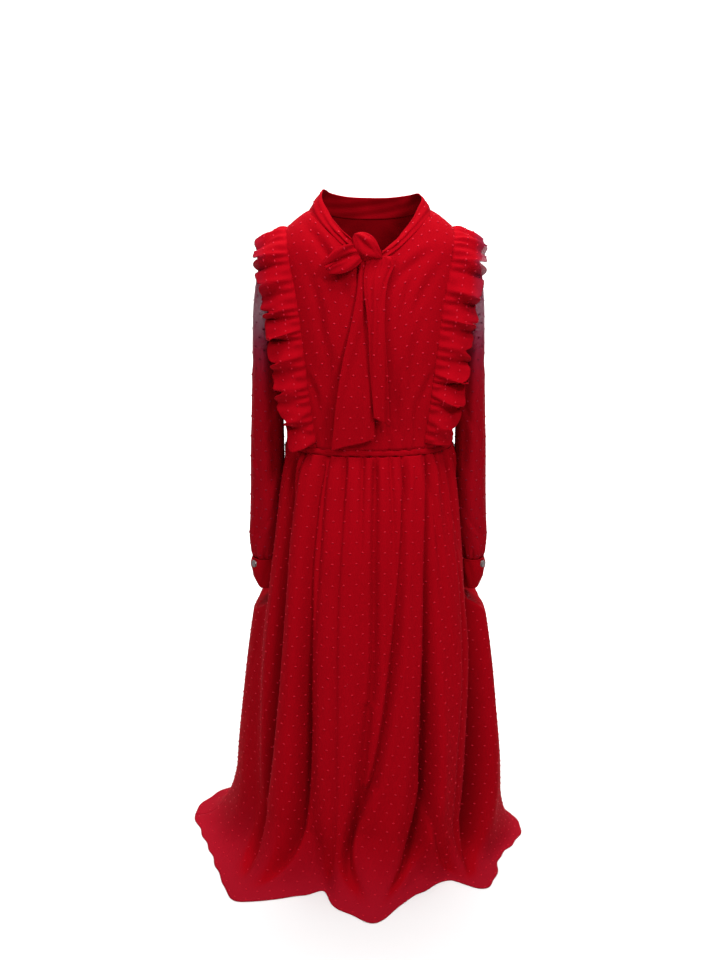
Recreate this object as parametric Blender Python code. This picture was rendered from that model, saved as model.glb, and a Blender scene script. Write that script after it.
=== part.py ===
"""A girl's long-sleeved dress, worn, as the pieces that a maker cuts and sews.

Metres, +Z up. The front faces -Y and +X is to the right of someone looking at
the front. The origin is on the line of the shoulders, halfway between them.
A turn is an angle seen from above: 0 at +X, 90 at the front, 180 at -X and
270 at the back.
"""
import math

import bmesh
import bpy
from mathutils import Vector

# Driving sizes
WALL = 0.0014
BAND_WALL = 0.0020
SEAM = 0.0003
BODY_POWER = 2.3
SKIRT_POWER = 2.15

WAIST_Z = -0.3060
BAND_DEPTH = 0.0080
SKIRT_TOP_Z = -0.3146
FLOOR_Z = -0.9200
NECK_HALF_WIDTH = 0.083
NECK_CENTRE_X = 0.008
FRONT_NECK_DROP = 0.066
BACK_NECK_DROP = 0.014
ARMHOLE_TOP_Z = -0.0370
ARMHOLE_BOTTOM_Z = -0.1340
ARMHOLE_HALF_DEPTH = 0.042
BUTTON_RADIUS = 0.0055
BUTTON_DEPTH = 0.0024
BUTTON_TURN = 46
BUTTON_DOWN = 0.22
SLEEVE_STEPS = 20
RUFFLE_WAVES = 17
WAVE_COLUMNS = 5
CUFF_TOP_Z = -0.4848
CUFF_DEPTH = 0.0440


def table(names, *rows):
    """Turn rows of numbers into records with named columns."""
    return [dict(zip(names.split(), row)) for row in rows]


# Half width and depth of the bodice by height; its widths above the armhole draw the shoulder line
BODY = table(
    "z half_width front back",
    (-0.320, 0.1170, 0.086, 0.079),
    (-0.306, 0.1175, 0.086, 0.079),
    (-0.240, 0.1195, 0.091, 0.081),
    (-0.170, 0.1215, 0.095, 0.084),
    (-0.120, 0.1245, 0.093, 0.084),
    (-0.085, 0.1280, 0.088, 0.080),
    (-0.055, 0.1305, 0.081, 0.074),
    (-0.036, 0.1290, 0.074, 0.068),
    (-0.020, 0.1190, 0.066, 0.061),
    (-0.007, 0.1060, 0.059, 0.055),
    (0.006, 0.0885, 0.052, 0.050),
    (0.016, 0.0680, 0.047, 0.046))

# Distance of the ruffle's seam from the middle, by height
SEAM_LINE = table(
    "z x",
    (-0.306, 0.074), (-0.240, 0.083), (-0.170, 0.091), (-0.100, 0.100), (-0.060, 0.108), (-0.020, 0.114))

# Columns of the centre panels, as a share of the way from the middle to the ruffle's seam
PANEL_ROWS = 10
UNDER_ARM_ROW = 5
CENTRE_COLUMNS = (-1.0, -0.85, -0.70, -0.50, -0.30, -0.12, 0.07, 0.25, 0.42, 0.56, 0.70, 0.85, 1.0)

# The ruffle from the front waist, over the shoulder at 0.5, to the back waist
RUFFLE = table(
    "along width lift wave",
    (0.00, 0.034, 26, 0.0060),
    (0.10, 0.042, 30, 0.0095),
    (0.24, 0.045, 26, 0.0105),
    (0.38, 0.046, 27, 0.0090),
    (0.50, 0.043, 18, 0.0055),
    (0.62, 0.046, 31, 0.0085),
    (0.76, 0.045, 30, 0.0100),
    (0.90, 0.042, 30, 0.0095),
    (1.00, 0.034, 26, 0.0060))
RUFFLE_ARCH = 0.0075
RUFFLE_LEAN = 0.55

# Sleeve rings under the armhole: outer and inner edge, and reach to the front and back of x-z plane
SLEEVE = table(
    "outer_x outer_z inner_x inner_z front back",
    (0.1460, -0.0520, 0.1290, -0.1375, 0.0420, 0.0420),
    (0.1550, -0.0780, 0.1290, -0.1430, 0.0415, 0.0425),
    (0.1610, -0.1150, 0.1275, -0.1560, 0.0400, 0.0430),
    (0.1640, -0.1600, 0.1262, -0.1780, 0.0380, 0.0430),
    (0.1660, -0.2120, 0.1240, -0.2190, 0.0355, 0.0420),
    (0.1685, -0.2680, 0.1225, -0.2700, 0.0335, 0.0415),
    (0.1710, -0.3250, 0.1220, -0.3250, 0.0315, 0.0405),
    (0.1725, -0.3800, 0.1225, -0.3800, 0.0300, 0.0400),
    (0.1745, -0.4300, 0.1240, -0.4300, 0.0290, 0.0395),
    (0.1755, -0.4560, 0.1265, -0.4560, 0.0280, 0.0380),
    (0.1735, -0.4740, 0.1300, -0.4740, 0.0260, 0.0350),
    (0.1705, -0.4840, 0.1330, -0.4840, 0.0240, 0.0320))
RIGHT_SLEEVE_TRIM = 0.0035

# Long soft folds of a sleeve: where round it, how deep, and where along it from 0 to 1
SLEEVE_FOLDS = table(
    "turn depth start end spread",
    (60, 0.0035, 0.35, 0.92, 22),
    (118, 0.0025, 0.10, 0.70, 20),
    (20, 0.0020, 0.20, 0.80, 18),
    (-55, 0.0030, 0.30, 0.90, 22),
    (-110, 0.0025, 0.15, 0.75, 20))

# Cuff rings from the top: how far down, how much wider than the sleeve's end, and how far out it hangs
CUFF = table("down grow shift", (0.0, 0.0014, 0.0), (0.45, 0.0026, 0.0012), (1.0, 0.0004, 0.0004))
CUFF_RISE = 0.015

# Skirt sections by height from the floor up, before its folds
SKIRT = table(
    "z half_width front back",
    (-0.920, 0.2040, 0.186, 0.182),
    (-0.870, 0.2040, 0.186, 0.182),
    (-0.800, 0.2010, 0.180, 0.176),
    (-0.700, 0.1900, 0.167, 0.164),
    (-0.600, 0.1770, 0.152, 0.152),
    (-0.500, 0.1600, 0.135, 0.138),
    (-0.420, 0.1430, 0.118, 0.121),
    (-0.360, 0.1300, 0.102, 0.103),
    (-0.3146, 0.1175, 0.087, 0.080))

# Heights of the skirt's rows above the place where each fold runs out on the floor
SKIRT_ROWS = (SKIRT_TOP_Z, -0.332, -0.362, -0.410, -0.475, -0.534, -0.572, -0.650, -0.740, -0.805)

# Rows of the cloth that runs out on the floor: share of the way to the hem, and of the way down
RUN_OUT = table(
    "out down",
    (0.10, 0.42), (0.34, 0.76), (0.66, 0.945), (1.00, 1.00))

# Gathers at the waist: where each tuck starts, how deep it is, and how far down it reaches
GATHERS = table(
    "turn depth reach",
    (10, 0.0030, 0.10), (32, 0.0034, 0.22), (42, 0.0030, 0.10), (51, 0.0040, 0.30), (70, 0.0034, 0.12),
    (78, 0.0036, 0.20), (87, 0.0030, 0.12), (94, 0.0036, 0.22), (105, 0.0030, 0.10), (117, 0.0040, 0.30),
    (139, 0.0036, 0.16), (150, 0.0032, 0.24), (167, 0.0030, 0.12),
    (192, 0.0032, 0.16), (205, 0.0036, 0.24), (218, 0.0030, 0.11), (232, 0.0036, 0.26), (243, 0.0030, 0.12),
    (254, 0.0036, 0.18), (266, 0.0030, 0.26), (275, 0.0034, 0.12), (289, 0.0036, 0.22), (301, 0.0030, 0.10),
    (318, 0.0036, 0.28), (334, 0.0032, 0.14), (348, 0.0030, 0.20))

# Main folds of the skirt: turn at waist, middle and floor, depth there, and spread in degrees
FOLDS = table(
    "waist middle floor mid_depth floor_depth spread",
    (18, 28, 50, 0.0130, 0.0240, 9.0),
    (50, 61, 76, 0.0090, 0.0200, 6.0),
    (78, 81, 86, 0.0070, 0.0020, 4.5),
    (87, 90, 94, 0.0080, 0.0170, 5.0),
    (117, 117, 113, 0.0110, 0.0220, 6.0),
    (167, 162, 146, 0.0140, 0.0180, 9.0),
    (218, 220, 222, 0.0120, 0.0180, 7.0),
    (243, 243, 244, 0.0100, 0.0200, 6.0),
    (266, 262, 258, 0.0090, 0.0180, 6.0),
    (282, 281, 282, 0.0090, 0.0160, 5.5),
    (301, 300, 300, 0.0090, 0.0160, 5.5),
    (318, 319, 321, 0.0120, 0.0190, 7.0))

# The hem on the floor: its distance from the middle, and the height where the cloth starts to run out
HEM = table(
    "turn reach start",
    (-30, 0.240, -0.850), (-8, 0.216, -0.860), (9, 0.238, -0.860), (30, 0.224, -0.850), (43, 0.246, -0.845),
    (50, 0.246, -0.850), (55, 0.206, -0.865), (62, 0.204, -0.865), (70, 0.212, -0.860), (78, 0.226, -0.850),
    (88, 0.264, -0.845), (96, 0.250, -0.845), (103, 0.232, -0.850), (109, 0.206, -0.865), (114, 0.222, -0.860),
    (122, 0.250, -0.845), (131, 0.286, -0.835), (143, 0.269, -0.835), (157, 0.257, -0.830), (170, 0.262, -0.820),
    (182, 0.274, -0.815), (196, 0.252, -0.840), (208, 0.224, -0.855), (222, 0.262, -0.840), (238, 0.222, -0.860),
    (250, 0.256, -0.845), (262, 0.222, -0.860), (275, 0.262, -0.845), (289, 0.220, -0.860), (304, 0.258, -0.845),
    (318, 0.220, -0.855), (330, 0.240, -0.850))

# Room that the hanging arms keep at the skirt's sides
ARM_ROOM = dict(x=0.1205, y=0.005, half_depth=0.050, top=-0.33, bottom=-0.536)

# The stand of the neck band, by turn: its height and how far it leans in towards the neck
NECK_BAND = table(
    "turn height lean",
    (-84, 0.0160, 18), (-40, 0.0190, 30), (0, 0.0270, 34), (45, 0.0300, 26), (90, 0.0320, 20),
    (135, 0.0320, 26), (180, 0.0340, 34), (220, 0.0200, 30), (264, 0.0160, 18))

# The two hanging tie ends from the bottom up: left and right edge, and distance in front of the middle
FRONT_TIE = table(
    "z left right reach",
    (-0.2620, 0.0040, 0.0265, 0.1020), (-0.2250, 0.0015, 0.0240, 0.1040), (-0.1800, -0.0015, 0.0210, 0.1055),
    (-0.1300, -0.0045, 0.0190, 0.1045), (-0.0950, -0.0080, 0.0195, 0.1005), (-0.0750, -0.0085, 0.0225, 0.0960),
    (-0.0600, -0.0070, 0.0290, 0.0905), (-0.0500, 0.0030, 0.0305, 0.0878))
BACK_TIE = table(
    "z left right reach",
    (-0.2960, -0.0520, 0.0060, 0.0945), (-0.2700, -0.0500, 0.0060, 0.0965), (-0.2350, -0.0460, 0.0050, 0.0985),
    (-0.1850, -0.0370, 0.0060, 0.0990), (-0.1350, -0.0260, 0.0080, 0.0972), (-0.0950, -0.0190, 0.0040, 0.0940),
    (-0.0560, -0.0150, 0.0060, 0.0868))
TIE_SLANT = 0.012
TIE_COLUMNS = 6
TIE_RIPPLE = 0.0020

# The bow's one loop: from the knot out to its tip, width of the folded strip and depth between its layers
KNOT_AT = (-0.0035, -0.0870, -0.0330)
KNOT_RADII = (0.0235, 0.0098, 0.0118)
KNOT_TILT = 40
KNOT_TAPER = 0.22
KNOT_CREASES = 6
LOOP_DIRECTION = (-0.88, -0.10, -0.46)
LOOP_LENGTH = 0.046
LOOP_START = 0.0152
LOOP = table(
    "along width depth",
    (0.00, 0.0150, 0.0080), (0.25, 0.0260, 0.0140), (0.55, 0.0330, 0.0170), (0.80, 0.0310, 0.0130),
    (1.00, 0.0240, 0.0045))
LOOP_STEPS = 9

CREPE_RED = (0.36, 0.004, 0.016, 1.0)
RUFFLE_RED = (0.40, 0.005, 0.018, 1.0)
SLEEVE_RED = (0.26, 0.004, 0.014, 1.0)
BUTTON_GREY = (0.16, 0.11, 0.11, 1.0)


def read(records, key, place, column):
    """Read a column between the rows, on a smooth curve through them."""
    if place <= records[0][key]:
        return records[0][column]
    if place >= records[-1][key]:
        return records[-1][column]
    low = max(i for i in range(len(records) - 1) if records[i][key] <= place)

    def slope(i):
        before, after = records[max(i - 1, 0)], records[min(i + 1, len(records) - 1)]
        return (after[column] - before[column]) / (after[key] - before[key])

    first, second = records[low], records[low + 1]
    span = second[key] - first[key]
    f = (place - first[key]) / span
    return ((1 + 2 * f) * (1 - f) ** 2 * first[column] + f * (1 - f) ** 2 * span * slope(low)
            + f * f * (3 - 2 * f) * second[column] + f * f * (f - 1) * span * slope(low + 1))


def smooth(low, high, value):
    """Rise smoothly from 0 at low to 1 at high."""
    f = min(1.0, max(0.0, (value - low) / (high - low)))
    return f * f * (3 - 2 * f)


def bell(distance, spread):
    """A soft bump of height 1."""
    return math.exp(-(distance / spread) ** 2)


def apart(turn, other):
    """Signed angle from one turn to another, the short way."""
    return (turn - other + 180.0) % 360.0 - 180.0


def oval(turn, half_width, front, back, power):
    """A point of a rounded section."""
    c, s = math.cos(math.radians(turn)), math.sin(math.radians(turn))
    depth = front if s > 0 else back
    x = math.copysign(abs(c) ** (2 / power), c) * half_width
    y = -math.copysign(abs(s) ** (2 / power), s) * depth
    return x, y


def clear_scene():
    for thing in list(bpy.data.objects):
        bpy.data.objects.remove(thing, do_unlink=True)


def cloth_material(name, colour, roughness=0.75, metallic=0.0):
    material = bpy.data.materials.new(name)
    material.use_nodes = True
    shader = material.node_tree.nodes["Principled BSDF"]
    shader.inputs["Base Color"].default_value = colour
    shader.inputs["Roughness"].default_value = roughness
    shader.inputs["Metallic"].default_value = metallic
    return material


def add_object(name, points, faces, material):
    """Make a closed body with its faces pointing out."""
    mesh = bpy.data.meshes.new(name)
    mesh.from_pydata([tuple(p) for p in points], [], faces)
    shape = bmesh.new()
    shape.from_mesh(mesh)
    bmesh.ops.recalc_face_normals(shape, faces=shape.faces)
    shape.to_mesh(mesh)
    shape.free()
    mesh.materials.append(material)
    mesh.shade_smooth()
    mesh.set_sharp_from_angle(angle=math.radians(50))
    body = bpy.data.objects.new(name, mesh)
    bpy.context.collection.objects.link(body)
    return body


def grid_normals(grid, round_rows):
    """Unit normals of a grid of points, from each point's neighbours."""
    rows, columns = len(grid), len(grid[0])
    normals = []
    for i in range(rows):
        line = []
        for j in range(columns):
            if round_rows:
                before, after = grid[i][j - 1], grid[i][(j + 1) % columns]
            else:
                before, after = grid[i][max(j - 1, 0)], grid[i][min(j + 1, columns - 1)]
            up, down = grid[max(i - 1, 0)][j], grid[min(i + 1, rows - 1)][j]
            line.append((after - before).cross(down - up).normalized())
        normals.append(line)
    return normals


def wall(name, outer, inner, material, round_rows=False):
    """Close two grids of points, an outer and an inner face, into one wall."""
    rows, columns = len(outer), len(outer[0])
    points = [p for line in outer for p in line] + [p for line in inner for p in line]
    count = rows * columns
    faces = []
    for i in range(rows - 1):
        for j in range(columns if round_rows else columns - 1):
            k = (j + 1) % columns
            quad = (i * columns + j, (i + 1) * columns + j, (i + 1) * columns + k, i * columns + k)
            faces.append(quad)
            faces.append(tuple(count + n for n in reversed(quad)))
    edges = []
    for j in range(columns if round_rows else columns - 1):
        k = (j + 1) % columns
        edges.append((k, j))
        edges.append(((rows - 1) * columns + j, (rows - 1) * columns + k))
    if not round_rows:
        for i in range(rows - 1):
            edges.append((i * columns, (i + 1) * columns))
            edges.append(((i + 1) * columns + columns - 1, i * columns + columns - 1))
    for a, b in edges:
        faces.append((a, b, count + b, count + a))
    return add_object(name, points, faces, material)


def offset(grid, normals, distance):
    return [[p + n * distance for p, n in zip(line, across)] for line, across in zip(grid, normals)]


def drawn_in(grid, distance=SEAM / 2):
    """Move a panel's outer columns towards their neighbours, to leave the seam's gap."""
    for line in grid:
        line[0] += (line[1] - line[0]).normalized() * distance
        line[-1] += (line[-2] - line[-1]).normalized() * distance
    return grid


def body_point(turn, z):
    sizes = [read(BODY, "z", z, column) for column in ("half_width", "front", "back")]
    return Vector((*oval(turn, *sizes, BODY_POWER), z))


def body_normal(turn, z):
    small_turn, small_z = 1.5, 0.002
    along = body_point(turn + small_turn, z) - body_point(turn - small_turn, z)
    up = body_point(turn, z + small_z) - body_point(turn, z - small_z)
    return up.cross(along).normalized()


def turn_at_x(x, z, back=False):
    """Turn at which the bodice's section at this height passes x."""
    share = min(1.0, abs(x) / read(BODY, "z", z, "half_width"))
    turn = math.degrees(math.acos(math.copysign(share ** (BODY_POWER / 2), x)))
    return -turn if back else turn


def shoulder_z(x):
    """Height of the shoulder line at a distance from the middle."""
    low, high = BODY[6]["z"], BODY[-1]["z"]
    for _ in range(40):
        middle = (low + high) / 2
        if read(BODY, "z", middle, "half_width") > abs(x):
            low = middle
        else:
            high = middle
    return low


def neck_z(x, back=False):
    """Height of the neckline's edge at a distance from the middle."""
    centre = 0.0 if back else NECK_CENTRE_X
    half = NECK_HALF_WIDTH - math.copysign(centre, x - centre) if x != centre else NECK_HALF_WIDTH
    share = min(1.0, abs(x - centre) / half)
    if back:
        return shoulder_z(NECK_HALF_WIDTH) - BACK_NECK_DROP * (1 - share ** 2.4)
    return shoulder_z(NECK_HALF_WIDTH) - FRONT_NECK_DROP * (1 - share ** 1.35)


def armhole_place(angle):
    """Turn and height on the bodice of a point of the right armhole; 0 is its top, 90 its front."""
    middle = (ARMHOLE_TOP_Z + ARMHOLE_BOTTOM_Z) / 2
    z = middle + (ARMHOLE_TOP_Z - middle) * math.cos(math.radians(angle))
    y = ARMHOLE_HALF_DEPTH * math.sin(math.radians(angle))
    depth = read(BODY, "z", z, "front" if y > 0 else "back")
    turn = math.degrees(math.asin(min(1.0, abs(y) / depth) ** (BODY_POWER / 2)))
    return math.copysign(turn, y), z


def bodice_panel(name, places, material):
    """A bodice panel from rows of places, each a turn and a height."""
    grid = [[body_point(*place) for place in line] for line in places]
    normals = [[body_normal(*place) for place in line] for line in places]
    drawn_in(grid)
    for j in range(len(grid[0])):
        grid[-1][j] += (grid[-2][j] - grid[-1][j]).normalized() * SEAM / 2
    inner = offset(grid, normals, -WALL)
    for point in inner[0]:
        point.z = WAIST_Z
    return wall(name, grid, inner, material)


def panel_share(row):
    """Share of the way up a bodice panel, with closer rows where it turns over the shoulder."""
    return 1 - (1 - row / PANEL_ROWS) ** 1.35


def centre_panel(name, back, material):
    """The middle of the front or back, between the ruffles' seams, up to neck and shoulders."""
    places = []
    for i in range(PANEL_ROWS + 1):
        share = panel_share(i)
        line = []
        for column in CENTRE_COLUMNS:
            top_x = column * SEAM_LINE[-1]["x"]
            on_shoulder = abs(column) >= 0.70
            top = shoulder_z(top_x) if on_shoulder else neck_z(top_x, back)
            z = WAIST_Z + (top - WAIST_Z) * share
            x = column * read(SEAM_LINE, "z", z, "x")
            line.append((turn_at_x(x, z, back), z))
        places.append(line)
    bodice_panel(name, places, material)


def side_panel(name, side, back, material):
    """From the ruffle's seam to the side seam and the armhole."""
    columns = 6
    under_arm = panel_share(UNDER_ARM_ROW)
    places = []
    for i in range(PANEL_ROWS + 1):
        share = panel_share(i)
        seam_z = WAIST_Z + (shoulder_z(SEAM_LINE[-1]["x"]) - WAIST_Z) * share
        seam = (abs(turn_at_x(read(SEAM_LINE, "z", seam_z, "x"), seam_z)), seam_z)
        if i <= UNDER_ARM_ROW:
            edge = (0.0, WAIST_Z + (ARMHOLE_BOTTOM_Z - WAIST_Z) * share / under_arm)
        else:
            angle = 180.0 * (PANEL_ROWS - i) / (PANEL_ROWS - UNDER_ARM_ROW)
            edge_turn, edge_z = armhole_place(-angle if back else angle)
            edge = (abs(edge_turn), edge_z)
        line = []
        for j in range(columns + 1):
            f = j / columns
            turn = seam[0] + (edge[0] - seam[0]) * f
            if back:
                turn = -turn
            if side < 0:
                turn = 180.0 - turn
            line.append((turn, seam[1] + (edge[1] - seam[1]) * f))
        places.append(line)
    bodice_panel(name, places, material)


def bodice(material):
    centre_panel("bodice_centre_front", False, material)
    centre_panel("bodice_centre_back", True, material)
    for label, side in (("left", -1), ("right", 1)):
        side_panel("bodice_side_front_" + label, side, False, material)
        side_panel("bodice_side_back_" + label, side, True, material)


def even_path(place, steps):
    """Places at equal distances along a path given by a function of 0 to 1."""
    fine = 400
    points = [place(i / fine) for i in range(fine + 1)]
    lengths = [0.0]
    for a, b in zip(points, points[1:]):
        lengths.append(lengths[-1] + (body_point(*b) - body_point(*a)).length)
    chosen, k = [], 0
    for i in range(steps + 1):
        goal = lengths[-1] * i / steps
        while k < fine and lengths[k + 1] < goal:
            k += 1
        chosen.append(points[min(k, fine)])
    return chosen


def ruffle(name, side, phase, material):
    """A gathered frill sewn in the seam from the front waist, over the shoulder, to the back waist."""
    top = shoulder_z(SEAM_LINE[-1]["x"])
    bottom = WAIST_Z + 0.008

    def place(share):
        climb = 1 - abs(2 * share - 1)
        z = bottom + (top - bottom) * (1 - (1 - climb) ** 2)
        turn = turn_at_x(side * read(SEAM_LINE, "z", z, "x"), z, back=share > 0.5)
        return turn, z

    steps = RUFFLE_WAVES * WAVE_COLUMNS
    places = even_path(place, steps)
    seam = [body_point(*p) for p in places]
    normal = [body_normal(*p) for p in places]
    for _ in range(2):
        before, after = [normal[0]] + normal[:-1], normal[1:] + [normal[-1]]
        normal = [(a + b * 2 + c).normalized() for a, b, c in zip(before, normal, after)]
    across = (0.0, 0.45, 1.0)
    grid = []
    for i in range(steps + 1):
        share = i / steps
        along = (seam[min(i + 1, steps)] - seam[max(i - 1, 0)]).normalized()
        sideways = along.cross(normal[i]).normalized()
        if sideways.x * side < 0:
            sideways = -sideways
        lift = math.radians(read(RUFFLE, "along", share, "lift"))
        width = read(RUFFLE, "along", share, "width")
        out = sideways * math.cos(lift) + normal[i] * math.sin(lift)
        face = normal[i] * math.cos(lift) - sideways * math.sin(lift)
        uneven = share + 0.006 * math.sin(math.radians(360 * (3 * share + phase)))
        angle = math.tau * (RUFFLE_WAVES * uneven + phase)
        vary = 1 + 0.22 * math.sin(math.tau * (5.3 * share + phase)) + 0.12 * math.sin(math.tau * 9.1 * share)
        wave = read(RUFFLE, "along", share, "wave") * vary
        arch = RUFFLE_ARCH * (1 + bell(share - 0.5, 0.16))
        lean = RUFFLE_LEAN * math.cos(math.pi * share)
        start = seam[i] + normal[i] * (WALL / 2 + 2 * SEAM)
        line = []
        for f in across:
            swing = wave * f ** 1.15
            reach = width * f * (1 + 0.06 * math.sin(angle + 0.8))
            line.append(start + out * reach
                        + face * (swing * math.sin(angle) + arch * math.sin(math.pi * f ** 0.8))
                        + along * swing * (0.16 * math.sin(2 * angle) - lean * math.sin(angle)))
        grid.append(line)
    if side > 0:
        grid.reverse()
    normals = grid_normals(grid, False)
    outer = offset(grid, normals, WALL / 2)
    inner = offset(grid, normals, -WALL / 2)
    wall(name, outer, inner, material)


def sleeve_ring(row, side, share, steps):
    """One ring of a sleeve, with its long folds and the small gathers above the cuff."""
    outer_x = row["outer_x"] - (RIGHT_SLEEVE_TRIM * smooth(0.0, 0.25, share) if side > 0 else 0.0)
    middle = Vector(((outer_x + row["inner_x"]) / 2, 0, (row["outer_z"] + row["inner_z"]) / 2))
    half = Vector(((outer_x - row["inner_x"]) / 2, 0, (row["outer_z"] - row["inner_z"]) / 2))
    line = []
    for j in range(steps):
        turn = 360.0 * j / steps
        c, s = math.cos(math.radians(turn)), math.sin(math.radians(turn))
        point = middle + half * c + Vector((0, -s * (row["front"] if s > 0 else row["back"]), 0))
        dent = 0.0
        for fold in SLEEVE_FOLDS:
            reach = smooth(fold["start"], fold["start"] + 0.15, share) * (1 - smooth(fold["end"] - 0.15,
                                                                                fold["end"], share))
            dent += fold["depth"] * reach * bell(apart(turn, fold["turn"]), fold["spread"])
        gather = 0.0011 * smooth(0.80, 0.95, share) * math.cos(math.tau * 8 * j / steps)
        point += (middle - point).normalized() * (dent + gather)
        line.append(Vector((side * point.x, point.y, point.z)))
    return line


def sleeve(name, side, material):
    """A sleeve from the armhole down to the cuff; its first ring is cut to the bodice panels' edge."""
    edge_points = 2 * (PANEL_ROWS - UNDER_ARM_ROW)
    steps = SLEEVE_STEPS
    edge = []
    for j in range(edge_points):
        angle = apart(360.0 * j / edge_points, 0.0)
        point = body_point(*armhole_place(angle))
        edge.append(Vector((side * (point.x + 2 * SEAM), point.y, point.z)))
    first = []
    for point, following in zip(edge, edge[1:] + edge[:1]):
        first += [point, (point + following) / 2]
    grid = [first]
    for i, row in enumerate(SLEEVE):
        grid.append(sleeve_ring(row, side, i / (len(SLEEVE) - 1), steps))
    normals = grid_normals(grid, True)
    for j in range(steps):
        flat = normals[0][j]
        normals[0][j] = Vector((0, flat.y, flat.z)).normalized()
    inward = WALL if side < 0 else -WALL
    wall(name, grid, offset(grid, normals, inward), material, round_rows=True)


def cuff_ring(shape, side, turns):
    """One ring of a cuff; its lower rim is cut higher towards its outer side."""
    end = SLEEVE[-1]
    trim = RIGHT_SLEEVE_TRIM if side > 0 else 0.0
    middle_x = (end["outer_x"] + end["inner_x"] - trim) / 2 + shape["shift"]
    half = (end["outer_x"] - end["inner_x"] - trim) / 2 + shape["grow"]
    line = []
    for turn in turns:
        c, s = math.cos(math.radians(turn)), math.sin(math.radians(turn))
        rise = CUFF_RISE * smooth(0.3, 1.0, c) * shape["down"]
        depth = end["front" if s > 0 else "back"] + shape["grow"]
        line.append(Vector((side * (middle_x + half * c), -s * depth,
                            CUFF_TOP_Z - CUFF_DEPTH * shape["down"] + rise)))
    return line


def cuff(name, side, material):
    """A plain band under the gathered sleeve."""
    grid = []
    for shape in CUFF:
        grid.append(cuff_ring(shape, side, [360.0 * j / SLEEVE_STEPS for j in range(SLEEVE_STEPS)]))
    normals = grid_normals(grid, True)
    inward = BAND_WALL if side < 0 else -BAND_WALL
    wall(name, grid, offset(grid, normals, inward), material, round_rows=True)


def cuff_button(name, side, material):
    """A shanked button on the front of the cuff, towards its outer side."""
    shape = dict(CUFF[0], down=BUTTON_DOWN, grow=read(CUFF, "down", BUTTON_DOWN, "grow"),
                 shift=read(CUFF, "down", BUTTON_DOWN, "shift"))
    before, place, after = cuff_ring(shape, side, (BUTTON_TURN - 9, BUTTON_TURN, BUTTON_TURN + 9))
    facing = Vector((side * (before.y - after.y), -side * (before.x - after.x), 0)).normalized()
    if facing.x * side < 0:
        facing = -facing
    shape = bmesh.new()
    bmesh.ops.create_cone(shape, cap_ends=True, segments=16, radius1=BUTTON_RADIUS,
                          radius2=BUTTON_RADIUS * 0.86, depth=BUTTON_DEPTH)
    mesh = bpy.data.meshes.new(name)
    shape.to_mesh(mesh)
    shape.free()
    mesh.materials.append(material)
    mesh.shade_smooth()
    mesh.set_sharp_from_angle(angle=math.radians(40))
    button = bpy.data.objects.new(name, mesh)
    bpy.context.collection.objects.link(button)
    button.location = place + facing * (BUTTON_DEPTH / 2 + 2 * SEAM)
    button.rotation_euler = facing.to_track_quat("Z", "Y").to_euler()


def gather_columns():
    """Turns of the skirt's columns: each gather's tuck, both its shoulders and its crest."""
    columns = []
    for k, gather in enumerate(GATHERS):
        gap = (GATHERS[(k + 1) % len(GATHERS)]["turn"] - gather["turn"]) % 360.0
        for share, puff in ((0.0, -1.0), (0.24, 0.35), (0.50, 0.8), (0.76, 0.35)):
            columns.append((gather["turn"] + gap * share, puff, k))
    return columns


def fold_depth(turn, z):
    """Depth of the skirt's main folds at a place."""
    total = 0.0
    down = (SKIRT_TOP_Z - z) / (SKIRT_TOP_Z - FLOOR_Z)
    for fold in FOLDS:
        if down < 0.45:
            centre = fold["waist"] + (fold["middle"] - fold["waist"]) * down / 0.45
            depth = fold["mid_depth"] * smooth(0.02, 0.40, down)
        else:
            f = (down - 0.45) / 0.55
            centre = fold["middle"] + (fold["floor"] - fold["middle"]) * f
            depth = fold["mid_depth"] + (fold["floor_depth"] - fold["mid_depth"]) * f
        total += depth * bell(apart(turn, centre), fold["spread"])
    return total


def skirt_point(turn, puff, gather, z):
    """A point of the hanging skirt, with its gathers, its folds and the room for the arms."""
    sizes = [read(SKIRT, "z", z, column) for column in ("half_width", "front", "back")]
    x, y = oval(turn, *sizes, SKIRT_POWER)
    radius = math.hypot(x, y)
    fade = 1 - smooth(0.0, gather["reach"], SKIRT_TOP_Z - z)
    change = puff * gather["depth"] * (0.15 + 0.85 * fade) - fold_depth(turn, z)
    x, y = x * (1 + change / radius), y * (1 + change / radius)
    room = ARM_ROOM["x"] + 0.02 * (abs(y - ARM_ROOM["y"]) / ARM_ROOM["half_depth"]) ** 4
    room += 1.7 * max(0.0, ARM_ROOM["bottom"] - z) + 0.2 * max(0.0, z - ARM_ROOM["top"])
    return Vector((math.copysign(min(abs(x), room), x), y, z))


def skirt_column(turn, puff, gather):
    """One column from waist to hem; its last rows run out over the floor."""
    column = [skirt_point(turn, puff, gather, z) for z in SKIRT_ROWS]
    last = column[-1]
    foot_turn = math.degrees(math.atan2(-last.y, last.x))
    place = foot_turn if foot_turn >= HEM[0]["turn"] else foot_turn + 360.0
    reach = read(HEM, "turn", place, "reach")
    start_z = min(read(HEM, "turn", place, "start"), SKIRT_ROWS[-1] - 0.012)
    start = skirt_point(turn, puff, gather, start_z)
    foot = math.hypot(start.x, start.y)
    lowest = FLOOR_Z + WALL + 0.0006
    column.append(start)
    for row in RUN_OUT:
        out = max(foot + 0.002, foot + (reach - foot) * row["out"])
        z = start_z + (lowest - start_z) * row["down"]
        column.append(Vector((start.x / foot * out, start.y / foot * out, z)))
    return column


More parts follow.
